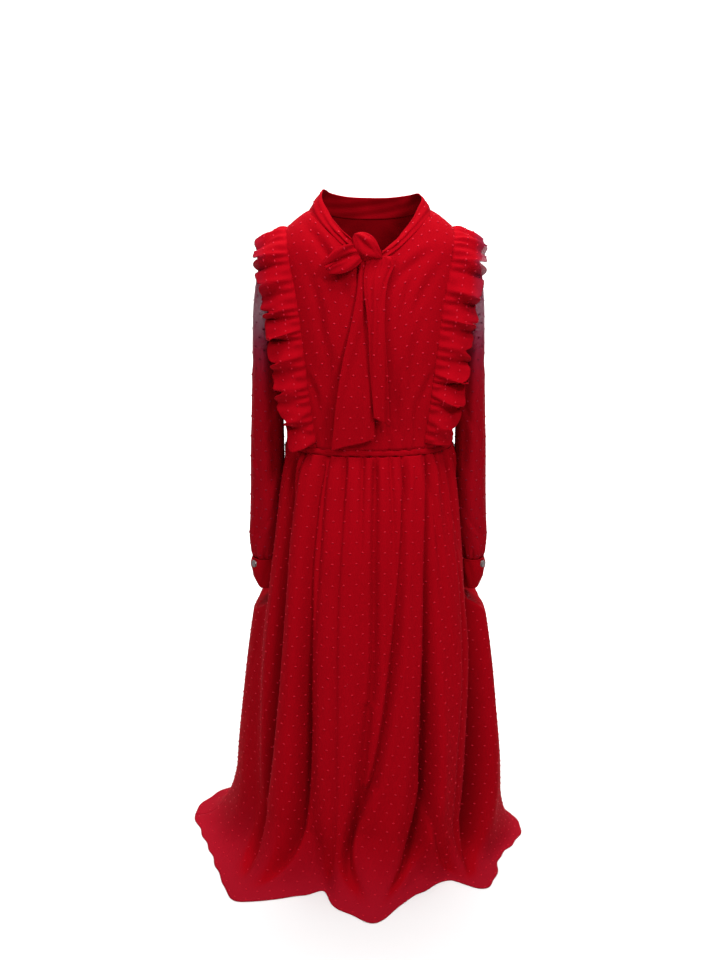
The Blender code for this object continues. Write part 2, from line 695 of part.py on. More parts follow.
def skirt(material):
    """Front and back of the skirt, parted at the side seams."""
    columns = gather_columns()
    grid_columns = [skirt_column(turn, puff, GATHERS[k]) for turn, puff, k in columns]
    grid = [[column[i] for column in grid_columns] for i in range(len(grid_columns[0]))]
    normals = grid_normals(grid, True)
    inner = offset(grid, normals, WALL)
    for point in inner[0]:
        point.z = SKIRT_TOP_Z
    for line in inner:
        for point in line:
            point.z = max(point.z, FLOOR_Z)
    turns = [turn % 360.0 for turn, _, _ in columns]
    left = min(range(len(turns)), key=lambda i: abs(apart(turns[i], 180.0)))
    right = min(range(len(turns)), key=lambda i: abs(apart(turns[i], 0.0)))
    count = len(turns)
    for name, first, last in (("skirt_front", right, left), ("skirt_back", left, right)):
        span = (last - first) % count
        chosen = [(first + i) % count for i in range(span + 1)]
        faces = [[[line[i].copy() for i in chosen] for line in side] for side in (grid, inner)]
        wall(name, drawn_in(faces[0]), drawn_in(faces[1]), material)


def waistband(material):
    """The narrow band between the bodice and the gathered skirt."""
    steps = 44
    grid = []
    for down in (0.0, 1.0):
        z = WAIST_Z - SEAM - BAND_DEPTH * down
        bulge = 0.0006 * math.sin(math.pi * down)
        sizes = (BODY[1]["half_width"] + 0.0006 + bulge, BODY[1]["front"] + 0.0006 + bulge,
                 BODY[1]["back"] + 0.0006 + bulge)
        grid.append([Vector((*oval(360.0 * j / steps, *sizes, BODY_POWER), z)) for j in range(steps)])
    normals = grid_normals(grid, True)
    wall("waistband", grid, offset(grid, normals, BAND_WALL), material, round_rows=True)


def neckline_point(turn):
    """A point of the bodice's neck edge; turn runs from -90 at the front, past +X, to 270."""
    across = math.cos(math.radians(turn))
    back = 0.0 < turn < 180.0
    centre = 0.0 if back else NECK_CENTRE_X * (1 - abs(across))
    x = centre + NECK_HALF_WIDTH * across
    z = neck_z(x, back)
    return body_point(turn_at_x(x, z, back), z)


def neck_band(material):
    """A soft stand from the V of the neck round the back, in one piece."""
    steps = 28
    first, last = NECK_BAND[0]["turn"], NECK_BAND[-1]["turn"]
    grid = [[], [], []]
    for j in range(steps + 1):
        turn = first + (last - first) * j / steps
        base = neckline_point(turn)
        inward = Vector((-base.x, -base.y, 0)).normalized()
        lean = math.radians(read(NECK_BAND, "turn", turn, "lean"))
        height = read(NECK_BAND, "turn", turn, "height")
        rise = Vector((0, 0, math.cos(lean))) + inward * math.sin(lean)
        crumple = 0.0010 * math.sin(math.radians(turn * 7)) + 0.0006 * math.sin(math.radians(turn * 13))
        for line, share in zip(grid, (0.0, 0.5, 1.0)):
            bow = inward * (-0.0016 * math.sin(math.pi * share) + crumple * share)
            line.append(base + Vector((0, 0, 2 * SEAM)) + rise * height * share + bow)
    normals = grid_normals(grid, False)
    wall("neck_band", grid, offset(grid, normals, BAND_WALL), material)


def tie_end(name, rows, slant, phase, material):
    """A hanging end of the tie, with soft lengthwise folds and a slanted cut."""
    steps = 11
    top, bottom = rows[-1]["z"], rows[0]["z"]
    grid = []
    for i in range(steps + 1):
        share = i / steps
        z = top + (bottom - top) * share
        left, right, reach = (read(rows, "z", z, column) for column in ("left", "right", "reach"))
        line = []
        for j in range(TIE_COLUMNS + 1):
            f = j / TIE_COLUMNS
            ripple = TIE_RIPPLE * math.sin(math.tau * (f * 1.1 + phase + 0.5 * share)) * smooth(0, 0.2, share)
            drop = slant * (f - 0.5) * smooth(0.6, 1.0, share)
            line.append(Vector((left + (right - left) * f, -reach + ripple, z + drop)))
        grid.append(line)
    normals = grid_normals(grid, False)
    wall(name, offset(grid, normals, -WALL / 2), offset(grid, normals, WALL / 2), material)


def bow_loop(material):
    """The folded strip of the bow's one loop, open along both its edges."""
    out = Vector(LOOP_DIRECTION).normalized()
    depth_way = Vector((0, -1, 0)) - out * out.dot(Vector((0, -1, 0)))
    depth_way.normalize()
    width_way = out.cross(depth_way).normalized()
    start = Vector(KNOT_AT) + out * LOOP_START
    grid = []
    for i in range(2 * LOOP_STEPS + 1):
        angle = math.pi * i / (2 * LOOP_STEPS)
        along = math.sin(angle)
        layer = math.cos(angle)
        width = read(LOOP, "along", along, "width")
        depth = read(LOOP, "along", along, "depth")
        centre = start + out * LOOP_LENGTH * along
        gap = math.copysign(max(abs(layer) ** 0.6 * depth / 2, 0.0), layer)
        line = []
        for f in (-0.5, -0.25, 0.0, 0.25, 0.5):
            crease = 0.0012 * math.sin(math.tau * (2 * f + along)) * (1 - along)
            line.append(centre + width_way * width * f + depth_way * (gap + crease))
        grid.append(line)
    normals = grid_normals(grid, False)
    wall("bow_loop", offset(grid, normals, WALL / 2), offset(grid, normals, -WALL / 2), material)


def bow_knot(material):
    """The tight wrapped knot, a rounded lump with soft creases."""
    shape = bmesh.new()
    bmesh.ops.create_uvsphere(shape, u_segments=18, v_segments=8, radius=1.0)
    tilt = math.radians(KNOT_TILT)
    for vert in shape.verts:
        x, y, z = vert.co
        crease = 1 + 0.06 * math.sin(KNOT_CREASES * z + 2 * y + 1.2 * x) * math.hypot(y, z)
        crease *= 1 - KNOT_TAPER * x
        x, y, z = x * KNOT_RADII[0], y * KNOT_RADII[1] * crease, z * KNOT_RADII[2] * crease
        vert.co = (x * math.cos(tilt) + z * math.sin(tilt), y, -x * math.sin(tilt) + z * math.cos(tilt))
    mesh = bpy.data.meshes.new("bow_knot")
    shape.to_mesh(mesh)
    shape.free()
    mesh.materials.append(material)
    mesh.shade_smooth()
    knot = bpy.data.objects.new("bow_knot", mesh)
    bpy.context.collection.objects.link(knot)
    knot.location = KNOT_AT


def main():
    clear_scene()
    crepe = cloth_material("crepe", CREPE_RED)
    frill = cloth_material("frill", RUFFLE_RED)
    sheer = cloth_material("sleeve", SLEEVE_RED)
    horn = cloth_material("button", BUTTON_GREY, 0.25)
    bodice(crepe)
    waistband(crepe)
    skirt(crepe)
    neck_band(crepe)
    bow_knot(crepe)
    bow_loop(crepe)
    tie_end("tie_front", FRONT_TIE, -TIE_SLANT / 3, 0.1, crepe)
    tie_end("tie_back", BACK_TIE, TIE_SLANT, 0.45, crepe)
    for label, side, phase in (("left", -1, 0.15), ("right", 1, 0.59)):
        ruffle("ruffle_" + label, side, phase, frill)
        sleeve("sleeve_" + label, side, sheer)
        cuff("cuff_" + label, side, sheer)
        cuff_button("cuff_button_" + label, side, horn)


main()
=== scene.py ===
"""Looks of a girl's long dress in red dotted chiffon, worn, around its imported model.

Metres, +Z up, the front faces -Y. A turn is an angle seen from above: 0 at +X,
90 at the front, 180 at -X and 270 at the back.
"""
import math

import bpy
import numpy as np
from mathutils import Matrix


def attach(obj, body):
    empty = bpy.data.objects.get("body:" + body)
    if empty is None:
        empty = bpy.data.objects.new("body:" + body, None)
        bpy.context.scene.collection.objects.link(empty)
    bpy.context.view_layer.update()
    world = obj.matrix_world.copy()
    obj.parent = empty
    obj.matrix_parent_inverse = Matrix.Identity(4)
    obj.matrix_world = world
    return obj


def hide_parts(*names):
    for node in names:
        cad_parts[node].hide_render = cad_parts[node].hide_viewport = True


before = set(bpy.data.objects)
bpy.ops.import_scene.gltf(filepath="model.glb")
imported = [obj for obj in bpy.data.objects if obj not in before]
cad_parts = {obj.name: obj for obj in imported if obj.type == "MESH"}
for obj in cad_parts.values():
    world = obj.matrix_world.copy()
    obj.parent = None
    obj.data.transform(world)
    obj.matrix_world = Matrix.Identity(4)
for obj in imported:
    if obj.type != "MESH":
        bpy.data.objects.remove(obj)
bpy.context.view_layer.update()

SIDES = (("left", -1), ("right", 1))
UP = np.array((0.0, 0.0, 1.0))

# Sizes of the construction
WALL = 0.0008
BAND_WALL = 0.0018
TIE_WALL = WALL * 1.4
KNOT_WALL = 0.0012
BODY_POWER = 2.3
SKIRT_POWER = 2.15
WAIST_Z = -0.3060
BAND_DEPTH = 0.0080
SKIRT_TOP_Z = -0.3146
FLOOR_Z = -0.9200
NECK_HALF_WIDTH = 0.083
NECK_CENTRE_X = 0.008
FRONT_NECK_DROP = 0.066
BACK_NECK_DROP = 0.014
FRONT_NECK_POWER = 1.35
BACK_NECK_POWER = 2.4
ARMHOLE_TOP_Z = -0.0370
ARMHOLE_BOTTOM_Z = -0.1340
ARMHOLE_HALF_DEPTH = 0.042
RUFFLE_WAVES = 17
CUFF_TOP_Z = -0.4848
CUFF_DEPTH = 0.0440
CUFF_RISE = 0.015

# Points in each mesh: rows, columns. A ruffle's columns are those of one wave.
CENTRE_MESH = (90, 121)
SIDE_MESH = (81, 25)
RUFFLE_MESH = (24, 28)
SLEEVE_MESH = (120, 96)
SLEEVE_HEAD_ROWS = 8
CUFF_MESH = (36, 132)
SKIRT_COLUMNS = 520
SKIRT_ROWS = dict(gathers=26, hanging=104, floor=41)
WAISTBAND_MESH = (18, 360)
NECK_BAND_MESH = (26, 260)
TIE_MESH = (130, 41)
LOOP_MESH = (121, 33)
KNOT_MESH = (60, 90)
ROW_POWER = 1.35

# The dots woven into the cloth
DOT_SPACING = 0.0178
DOT_ROWS = 0.0144
DOT_LONG = 0.0018
DOT_SHORT = 0.0011
DOT_HIGH = 0.0008
DOT_SIDES = 8


def table(names, *rows):
    """Columns of numbers by name."""
    return dict(zip(names.split(), np.array(rows, float).T))


BODY = table(
    "z half_width front back",
    (-0.320, 0.1170, 0.086, 0.079),
    (-0.306, 0.1175, 0.086, 0.079),
    (-0.240, 0.1195, 0.091, 0.081),
    (-0.170, 0.1215, 0.095, 0.084),
    (-0.120, 0.1245, 0.093, 0.084),
    (-0.085, 0.1280, 0.088, 0.080),
    (-0.055, 0.1305, 0.081, 0.074),
    (-0.036, 0.1290, 0.074, 0.068),
    (-0.020, 0.1190, 0.066, 0.061),
    (-0.007, 0.1060, 0.059, 0.055),
    (0.006, 0.0885, 0.052, 0.050),
    (0.016, 0.0680, 0.047, 0.046))

SEAM_LINE = table(
    "z x",
    (-0.306, 0.074), (-0.240, 0.083), (-0.170, 0.091), (-0.100, 0.100), (-0.060, 0.108),
    (-0.020, 0.114))
NECK_SHARE = 0.70

RUFFLE = table(
    "along width lift wave",
    (0.00, 0.034, 26, 0.0060),
    (0.10, 0.042, 30, 0.0095),
    (0.24, 0.045, 26, 0.0105),
    (0.38, 0.046, 27, 0.0090),
    (0.50, 0.043, 18, 0.0055),
    (0.62, 0.046, 31, 0.0085),
    (0.76, 0.045, 30, 0.0100),
    (0.90, 0.042, 30, 0.0095),
    (1.00, 0.034, 26, 0.0060))
RUFFLE_ARCH = 0.0075
RUFFLE_SWING = 1.18
RUFFLE_END = 0.008
RUFFLE_LEAN = 0.55

SLEEVE = table(
    "outer_x outer_z inner_x inner_z front back",
    (0.1460, -0.0520, 0.1290, -0.1375, 0.0420, 0.0420),
    (0.1550, -0.0780, 0.1290, -0.1430, 0.0415, 0.0425),
    (0.1610, -0.1150, 0.1275, -0.1560, 0.0400, 0.0430),
    (0.1640, -0.1600, 0.1262, -0.1780, 0.0380, 0.0430),
    (0.1660, -0.2120, 0.1240, -0.2190, 0.0355, 0.0420),
    (0.1685, -0.2680, 0.1225, -0.2700, 0.0335, 0.0415),
    (0.1710, -0.3250, 0.1220, -0.3250, 0.0315, 0.0405),
    (0.1725, -0.3800, 0.1225, -0.3800, 0.0300, 0.0400),
    (0.1745, -0.4300, 0.1240, -0.4300, 0.0290, 0.0395),
    (0.1755, -0.4560, 0.1265, -0.4560, 0.0280, 0.0380),
    (0.1735, -0.4740, 0.1300, -0.4740, 0.0260, 0.0350),
    (0.1705, -0.4840, 0.1330, -0.4840, 0.0240, 0.0320))
RIGHT_SLEEVE_TRIM = 0.0035

CUFF = table("down grow shift", (0.0, 0.0014, 0.0), (0.45, 0.0026, 0.0012), (1.0, 0.0004, 0.0004))

SLEEVE_FOLDS = table(
    "turn depth start end spread",
    (60, 0.0035, 0.35, 0.92, 22), (118, 0.0025, 0.10, 0.70, 20), (20, 0.0020, 0.20, 0.80, 18),
    (-55, 0.0030, 0.30, 0.90, 22), (-110, 0.0025, 0.15, 0.75, 20))

# Short drag lines across a sleeve: where round it and along it, their slope, length, width and depth
SLEEVE_DRAGS = table(
    "turn along slope length spread depth",
    (70, 0.24, 0.5, 34, 0.016, 0.0014), (95, 0.47, -0.4, 40, 0.014, 0.0012),
    (40, 0.55, 0.6, 30, 0.013, 0.0012), (80, 0.74, -0.5, 36, 0.014, 0.0013),
    (20, 0.36, 0.3, 36, 0.015, 0.0011), (-60, 0.30, 0.5, 34, 0.014, 0.0013),
    (-90, 0.52, -0.5, 40, 0.015, 0.0012), (-40, 0.66, 0.5, 30, 0.013, 0.0012),
    (-70, 0.80, -0.4, 34, 0.014, 0.0013))

SKIRT = table(
    "z half_width front back",
    (-0.920, 0.2040, 0.186, 0.182),
    (-0.870, 0.2040, 0.186, 0.182),
    (-0.800, 0.2010, 0.180, 0.176),
    (-0.700, 0.1900, 0.167, 0.164),
    (-0.600, 0.1770, 0.152, 0.152),
    (-0.500, 0.1600, 0.135, 0.138),
    (-0.420, 0.1430, 0.118, 0.121),
    (-0.360, 0.1300, 0.102, 0.103),
    (-0.3146, 0.1175, 0.087, 0.080))

GATHERS = table(
    "turn depth reach",
    (10, 0.0030, 0.10), (32, 0.0034, 0.22), (42, 0.0030, 0.10), (51, 0.0040, 0.30), (70, 0.0034, 0.12),
    (78, 0.0036, 0.20), (87, 0.0030, 0.12), (94, 0.0036, 0.22), (105, 0.0030, 0.10),
    (117, 0.0040, 0.30), (139, 0.0036, 0.16), (150, 0.0032, 0.24), (167, 0.0030, 0.12),
    (192, 0.0032, 0.16), (205, 0.0036, 0.24), (218, 0.0030, 0.11), (232, 0.0036, 0.26),
    (243, 0.0030, 0.12), (254, 0.0036, 0.18), (266, 0.0030, 0.26), (275, 0.0034, 0.12),
    (289, 0.0036, 0.22), (301, 0.0030, 0.10), (318, 0.0036, 0.28), (334, 0.0032, 0.14),
    (348, 0.0030, 0.20))

# The puff of the cloth between two tucks, by shares of the way across
PUFF = ((0.0, 0.08, 0.24, 0.5, 0.76, 0.92, 1.0), (-1.0, -0.35, 0.45, 0.8, 0.45, -0.35, -1.0))

# Main folds: their turns at the waist, the middle (a share of the way down) and the floor
FOLD_MIDDLE = 0.45
FOLDS = table(
    "waist middle floor mid_depth floor_depth spread",
    (18, 28, 50, 0.0130, 0.0240, 9.0),
    (50, 61, 76, 0.0090, 0.0200, 6.0),
    (78, 81, 86, 0.0070, 0.0020, 4.5),
    (87, 90, 94, 0.0080, 0.0170, 5.0),
    (117, 117, 113, 0.0110, 0.0220, 6.0),
    (167, 162, 146, 0.0140, 0.0180, 9.0),
    (218, 220, 222, 0.0120, 0.0180, 7.0),
    (243, 243, 244, 0.0100, 0.0200, 6.0),
    (266, 262, 258, 0.0090, 0.0180, 6.0),
    (282, 281, 282, 0.0090, 0.0160, 5.5),
    (301, 300, 300, 0.0090, 0.0160, 5.5),
    (318, 319, 321, 0.0120, 0.0190, 7.0))

# Folds pressed in this far have the deepest painted shade in the cloth's colour
FULL_PAINTED_SHADE_PRESS = 0.024

# Sharper folds in front and behind: the turn of each at these shares of the way down the skirt,
# its depth above and below, and its width in degrees
VALLEY_SHARES = (0.02, 0.25, 0.45, 0.65, 0.80, 0.97)
VALLEYS = table(
    "t1 t2 t3 t4 t5 t6 top_depth low_depth spread",
    (120, 121.8, 119.0, 117.7, 120.5, 128.0, 0.0060, 0.0170, 2.6),
    (147, 141.0, 136.5, 137.0, 139.5, 134.0, 0.0180, 0.0250, 4.6),
    (88, 88.6, 89.3, 92.6, 97.0, 88.6, 0.0050, 0.0070, 1.7),
    (68, 75.0, 81.4, 89.0, 97.5, 91.0, 0.0055, 0.0110, 1.7),
    (50, 60.0, 64.0, 67.0, 75.5, 88.2, 0.0085, 0.0190, 2.4),
    (58, 62.0, 66.0, 67.5, 61.5, 54.0, 0.0000, 0.0060, 2.2),
    (16, 20.0, 29.5, 36.0, 43.0, 55.0, 0.0150, 0.0250, 4.8),
    (104, 105.0, 104.0, 103.0, 104.0, 106.0, 0.0030, 0.0030, 2.2),
    (31, 36.0, 42.0, 50.0, 52.0, 48.0, 0.0030, 0.0045, 2.4),
    (212, 214.0, 217.0, 221.0, 226.0, 230.0, 0.0040, 0.0120, 3.0),
    (240, 242.0, 241.0, 239.0, 236.0, 238.0, 0.0040, 0.0100, 2.4),
    (259, 260.0, 262.0, 264.0, 262.0, 257.0, 0.0040, 0.0110, 2.3),
    (279, 281.0, 284.0, 283.0, 287.0, 290.0, 0.0040, 0.0100, 2.4),
    (304, 303.0, 300.0, 298.0, 301.0, 305.0, 0.0040, 0.0110, 2.6),
    (327, 325.0, 322.0, 318.0, 316.0, 319.0, 0.0040, 0.0130, 3.2))

HEM = table(
    "turn reach start",
    (-30, 0.240, -0.850), (-8, 0.216, -0.860), (9, 0.238, -0.860), (30, 0.224, -0.850),
    (43, 0.246, -0.845), (50, 0.246, -0.850), (55, 0.206, -0.865), (62, 0.204, -0.865),
    (70, 0.212, -0.860), (78, 0.226, -0.850), (88, 0.264, -0.845), (96, 0.250, -0.845),
    (103, 0.232, -0.850), (109, 0.206, -0.865), (114, 0.222, -0.860), (122, 0.250, -0.845),
    (131, 0.286, -0.835), (143, 0.269, -0.835), (157, 0.257, -0.830), (170, 0.262, -0.820),
    (182, 0.274, -0.815), (196, 0.252, -0.840), (208, 0.224, -0.855), (222, 0.262, -0.840),
    (238, 0.222, -0.860), (250, 0.256, -0.845), (262, 0.222, -0.860), (275, 0.262, -0.845),
    (289, 0.220, -0.860), (304, 0.258, -0.845), (318, 0.220, -0.855), (330, 0.240, -0.850))

# The skirt's rows are closer together in this upper share, where the gathers are
GATHER_SHARE = 0.12

# The height at which each column's place in HEM is found, and the highest at which it may run out
FOOT_Z = -0.805
HIGHEST_START_Z = -0.817

ARM_ROOM = dict(x=0.1205, y=0.005, half_depth=0.050, top=-0.33, bottom=-0.536, soft=0.004)

NECK_BAND = table(
    "turn height lean",
    (-84, 0.0160, 18), (-40, 0.0190, 30), (0, 0.0270, 34), (45, 0.0300, 26), (90, 0.0320, 20),
    (135, 0.0320, 26), (180, 0.0340, 34), (220, 0.0200, 30), (264, 0.0160, 18))

FRONT_TIE = table(
    "z left right reach",
    (-0.2620, 0.0040, 0.0265, 0.1020), (-0.2250, 0.0015, 0.0240, 0.1040),
    (-0.1800, -0.0015, 0.0210, 0.1055), (-0.1300, -0.0045, 0.0190, 0.1045),
    (-0.0950, -0.0080, 0.0195, 0.1005), (-0.0750, -0.0085, 0.0225, 0.0960),
    (-0.0600, -0.0070, 0.0290, 0.0905), (-0.0500, -0.0030, 0.0310, 0.0885),
    (-0.0455, -0.0020, 0.0275, 0.0862))
BACK_TIE = table(
    "z left right reach",
    (-0.2960, -0.0520, 0.0060, 0.0945), (-0.2700, -0.0500, 0.0060, 0.0965),
    (-0.2350, -0.0460, 0.0050, 0.0985), (-0.1850, -0.0370, 0.0060, 0.0990),
    (-0.1350, -0.0260, 0.0080, 0.0972), (-0.0950, -0.0190, 0.0040, 0.0940),
    (-0.0560, -0.0150, 0.0060, 0.0868), (-0.0440, -0.0130, 0.0060, 0.0840))
TIE_SLANT = 0.012
TIE_RIPPLE = 0.0020

KNOT_AT = np.array((-0.0035, -0.0870, -0.0330))
KNOT_RADII = (0.0235, 0.0098, 0.0118)
KNOT_TILT = 40
KNOT_TAPER = 0.22
LOOP_DIRECTION = np.array((-0.88, -0.10, -0.46))
LOOP_LENGTH = 0.046
LOOP_START = 0.0152
LOOP = table(
    "along width depth",
    (0.00, 0.0250, 0.0110), (0.25, 0.0310, 0.0165), (0.55, 0.0310, 0.0180), (0.80, 0.0240, 0.0120),
    (1.00, 0.0150, 0.0040))

# Soft creases of the bodice: place, direction in degrees from level, half length, half width and depth
FRONT_CREASES = table(
    "x z angle long wide deep",
    (-0.060, -0.040, -58, 0.034, 0.006, 0.0016), (-0.040, -0.075, -66, 0.040, 0.007, 0.0015),
    (-0.070, -0.110, -78, 0.046, 0.007, 0.0014), (0.052, -0.060, 40, 0.030, 0.006, 0.0016),
    (0.070, -0.095, 62, 0.040, 0.007, 0.0014), (0.045, -0.110, 78, 0.050, 0.006, 0.0012),
    (0.058, -0.180, 84, 0.052, 0.007, 0.0015), (-0.056, -0.190, -86, 0.050, 0.007, 0.0014),
    (0.036, -0.235, 88, 0.046, 0.005, 0.0014), (-0.034, -0.240, -88, 0.040, 0.005, 0.0013),
    (0.062, -0.268, 96, 0.030, 0.004, 0.0015), (0.020, -0.282, 90, 0.022, 0.004, 0.0013),
    (-0.060, -0.272, -98, 0.028, 0.004, 0.0015), (-0.012, -0.284, -90, 0.020, 0.004, 0.0012),
    (0.074, -0.225, 70, 0.030, 0.005, 0.0012), (-0.076, -0.225, -70, 0.030, 0.005, 0.0012))
BACK_CREASES = table(
    "x z angle long wide deep",
    (-0.050, -0.050, 60, 0.036, 0.007, 0.0014), (0.055, -0.052, -60, 0.036, 0.007, 0.0014),
    (-0.030, -0.130, 84, 0.050, 0.008, 0.0013), (0.034, -0.150, -84, 0.052, 0.008, 0.0013),
    (-0.062, -0.210, 86, 0.048, 0.007, 0.0014), (0.060, -0.220, -88, 0.046, 0.007, 0.0014),
    (0.000, -0.235, 90, 0.046, 0.006, 0.0013), (-0.035, -0.272, 92, 0.028, 0.004, 0.0014),
    (0.030, -0.274, -92, 0.028, 0.004, 0.0014), (0.068, -0.276, -84, 0.024, 0.004, 0.0013),
    (-0.070, -0.276, 84, 0.024, 0.004, 0.0013), (0.012, -0.090, -50, 0.026, 0.007, 0.0010))

# The camera's place: its height over the floor, its distance, its tilt down and its lens in pixels
CAMERA = dict(x=-0.0137, height=1.0, distance=1.6, pitch=15.75, focal_pixels=1150, picture_height=960)
SENSOR = 36.0


def read(records, key, place, column, *more):
    """Read a column between the rows, on a smooth curve through them, or several columns at once."""
    if more:
        return [read(records, key, place, name) for name in (column, *more)]
    xs, ys = records[key], records[column]
    place = np.clip(np.asarray(place, float), xs[0], xs[-1])
    low = np.clip(np.searchsorted(xs, place, side="right") - 1, 0, len(xs) - 2)
    before, after = np.r_[xs[0], xs[:-1]], np.r_[xs[1:], xs[-1]]
    slope = (np.r_[ys[1:], ys[-1]] - np.r_[ys[0], ys[:-1]]) / (after - before)
    span = xs[low + 1] - xs[low]
    f = (place - xs[low]) / span
    return ((1 + 2 * f) * (1 - f) ** 2 * ys[low] + f * (1 - f) ** 2 * span * slope[low]
            + f * f * (3 - 2 * f) * ys[low + 1] + f * f * (f - 1) * span * slope[low + 1])


def rows_of(records):
    """The rows of a table as records, for a loop."""
    names = list(records)
    return [dict(zip(names, row)) for row in zip(*records.values())]


def smooth(low, high, value):
    """From 0 at low to 1 at high, level at both ends."""
    f = np.clip((np.asarray(value, float) - low) / (high - low), 0.0, 1.0)
    return f * f * (3 - 2 * f)


def window(low, opened, closing, high, value):
    """Up from 0 to 1, and down again to 0."""
    return smooth(low, opened, value) * (1 - smooth(closing, high, value))


def bell(distance, spread):
    """1 at no distance, fading to nothing."""
    return np.exp(-(distance / spread) ** 2)


def apart(turn, other):
    """Degrees from one turn to another, the short way."""
    return (turn - other + 180.0) % 360.0 - 180.0


def unit(vectors):
    length = np.linalg.norm(vectors, axis=-1, keepdims=True)
    return vectors / np.maximum(length, 1e-9)


def vectors(*parts):
    return np.stack(np.broadcast_arrays(*parts), axis=-1).astype(float)


def oval(turn, half_width, front, back, power):
    """Points of a rounded section."""
    c, s = np.cos(np.radians(turn)), np.sin(np.radians(turn))
    depth = np.where(s > 0, front, back)
    return (np.sign(c) * np.abs(c) ** (2 / power) * half_width,
            -np.sign(s) * np.abs(s) ** (2 / power) * depth)


def sine(rounds):
    """The sine of a number of whole rounds."""
    return np.sin(math.tau * rounds)


def waves(x, *rows):
    """A sum of soft waves: each row is a wavelength, a phase and a height."""
    return sum(high * sine(x / length + phase) for length, phase, high in rows)


def ring_turns(steps):
    """Even turns all round."""
    return np.arange(steps) * 360.0 / steps


def crowded(count):
    """Steps from 0 to 1, closer together towards 1."""
    return 1 - (1 - np.linspace(0, 1, count)) ** ROW_POWER


def grid_normals(grid, round_rows):
    """Unit normals of a grid of points, from each point's neighbours."""
    if round_rows:
        across = np.roll(grid, -1, 1) - np.roll(grid, 1, 1)
    else:
        across = np.gradient(grid, axis=1)
    return unit(np.cross(across, np.gradient(grid, axis=0)))


def outward(grid, inside, round_rows=False):
    """Unit normals of a grid that point away from a place inside the garment."""
    normals = grid_normals(grid, round_rows)
    return normals * np.sign((normals * (grid - inside)).sum())


def axis_of(grid):
    """The dress's upright middle line, beside each point of a grid."""
    return grid * UP


def lengths(grid, axis):
    """Distance along the grid from its first row or column."""
    steps = np.linalg.norm(np.diff(grid, axis=axis), axis=-1)
    pad = [(0, 0), (0, 0)]
    pad[axis] = (1, 0)
    return np.pad(np.cumsum(steps, axis=axis), pad)


def closed(grid):
    """A grid with its first column again at its end."""
    return np.concatenate((grid, grid[:, :1]), axis=1)


def tube_places(grid):
    """Flat places of a tube's points, from its first column and row."""
    return vectors(lengths(closed(grid), 1)[:, :-1], lengths(grid, 0))


def cloth_places(grid, middle, level=0.4):
    """Flat places of a grid's points, in metres on the cloth, counted from a column in the middle."""
    u = lengths(grid, 1)
    u -= u[:, middle:middle + 1]
    kernel = np.ones(9) / 9
    pad = np.pad(u, ((4, 4), (0, 0)), mode="edge")
    u = np.stack([np.convolve(pad[:, j], kernel, "valid") for j in range(u.shape[1])], axis=1)
    v = lengths(grid, 0)
    v = level * v.mean(axis=1, keepdims=True) + (1 - level) * v
    return np.stack((u, v), axis=-1)


def finish_piece(piece, material):
    piece.data.materials.append(material)
    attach(piece, "root")


def add_object(name, data):
    thing = bpy.data.objects.new(name, data)
    bpy.context.scene.collection.objects.link(thing)
    return thing


def link_mesh(name, points, faces, face_places=None, veil=None):
    """A mesh object, with flat places for its corners and a veil value for its points, which below nought is
    painted shade.
    """
    mesh = bpy.data.meshes.new(name)
    mesh.vertices.add(len(points))
    mesh.vertices.foreach_set("co", np.asarray(points, np.float32).ravel())
    faces = np.asarray(faces, np.int32)
    corners = faces.shape[1]
    mesh.loops.add(faces.size)
    mesh.loops.foreach_set("vertex_index", faces.ravel())
    mesh.polygons.add(len(faces))
    mesh.polygons.foreach_set("loop_start", np.arange(0, faces.size, corners, dtype=np.int32))
    mesh.update(calc_edges=True)
    mesh.validate()
    mesh.polygons.foreach_set("use_smooth", np.ones(len(mesh.polygons), bool))
    if face_places is not None:
        layer = mesh.uv_layers.new(name="cloth")
        order = np.zeros(len(mesh.loops), np.int32)
        mesh.loops.foreach_get("vertex_index", order)
        layer.data.foreach_set("uv", np.asarray(face_places, np.float32)[order].ravel())
    if veil is not None:
        layer = mesh.attributes.new("veil", "FLOAT", "POINT")
        layer.data.foreach_set("value", np.asarray(veil, np.float32).ravel())
    return add_object(name, mesh)


def cloth(name, grid, thickness, places, veil=None, round_rows=False, inside=None, flat_top=None):
    """A thin closed shell under a grid of points, which are its outer side."""
    rows, columns = grid.shape[:2]
    inside = axis_of(grid) if inside is None else inside
    normals = outward(grid, inside, round_rows)
    flip = (normals * grid_normals(grid, round_rows)).sum() > 0
    thick = np.broadcast_to(np.asarray(thickness, float), (rows, columns))[..., None]
    inner = grid - normals * thick
    if flat_top is not None:
        inner[0, :, 2] = flat_top
    inner[..., 2] = np.maximum(inner[..., 2], FLOOR_Z)
    count = rows * columns
    index = np.arange(count).reshape(rows, columns)
    if round_rows:
        index = closed(index)
    a, b, c, d = index[:-1, :-1], index[1:, :-1], index[1:, 1:], index[:-1, 1:]
    skin = np.stack((a, b, c, d), axis=-1).reshape(-1, 4)
    if flip:
        skin = skin[:, ::-1]
    rims = [(index[0, 1:], index[0, :-1]), (index[-1, :-1], index[-1, 1:])]
    if not round_rows:
        rims += [(index[:-1, 0], index[1:, 0]), (index[1:, -1], index[:-1, -1])]
    rims = np.concatenate([np.stack(pair, -1) for pair in rims])
    if flip:
        rims = rims[:, ::-1]
    rim = np.stack((rims[:, 1], rims[:, 0], rims[:, 0] + count, rims[:, 1] + count), axis=-1)
    faces = np.concatenate((skin[:, ::-1], skin + count, rim[:, ::-1]))[:, ::-1]
    flat = places.reshape(-1, 2)
    shade = None if veil is None else np.tile(np.broadcast_to(veil, (rows, columns)).ravel(), 2)
    return link_mesh(name, np.concatenate((grid.reshape(-1, 3), inner.reshape(-1, 3))), faces,
                     np.concatenate((flat, flat)), shade)


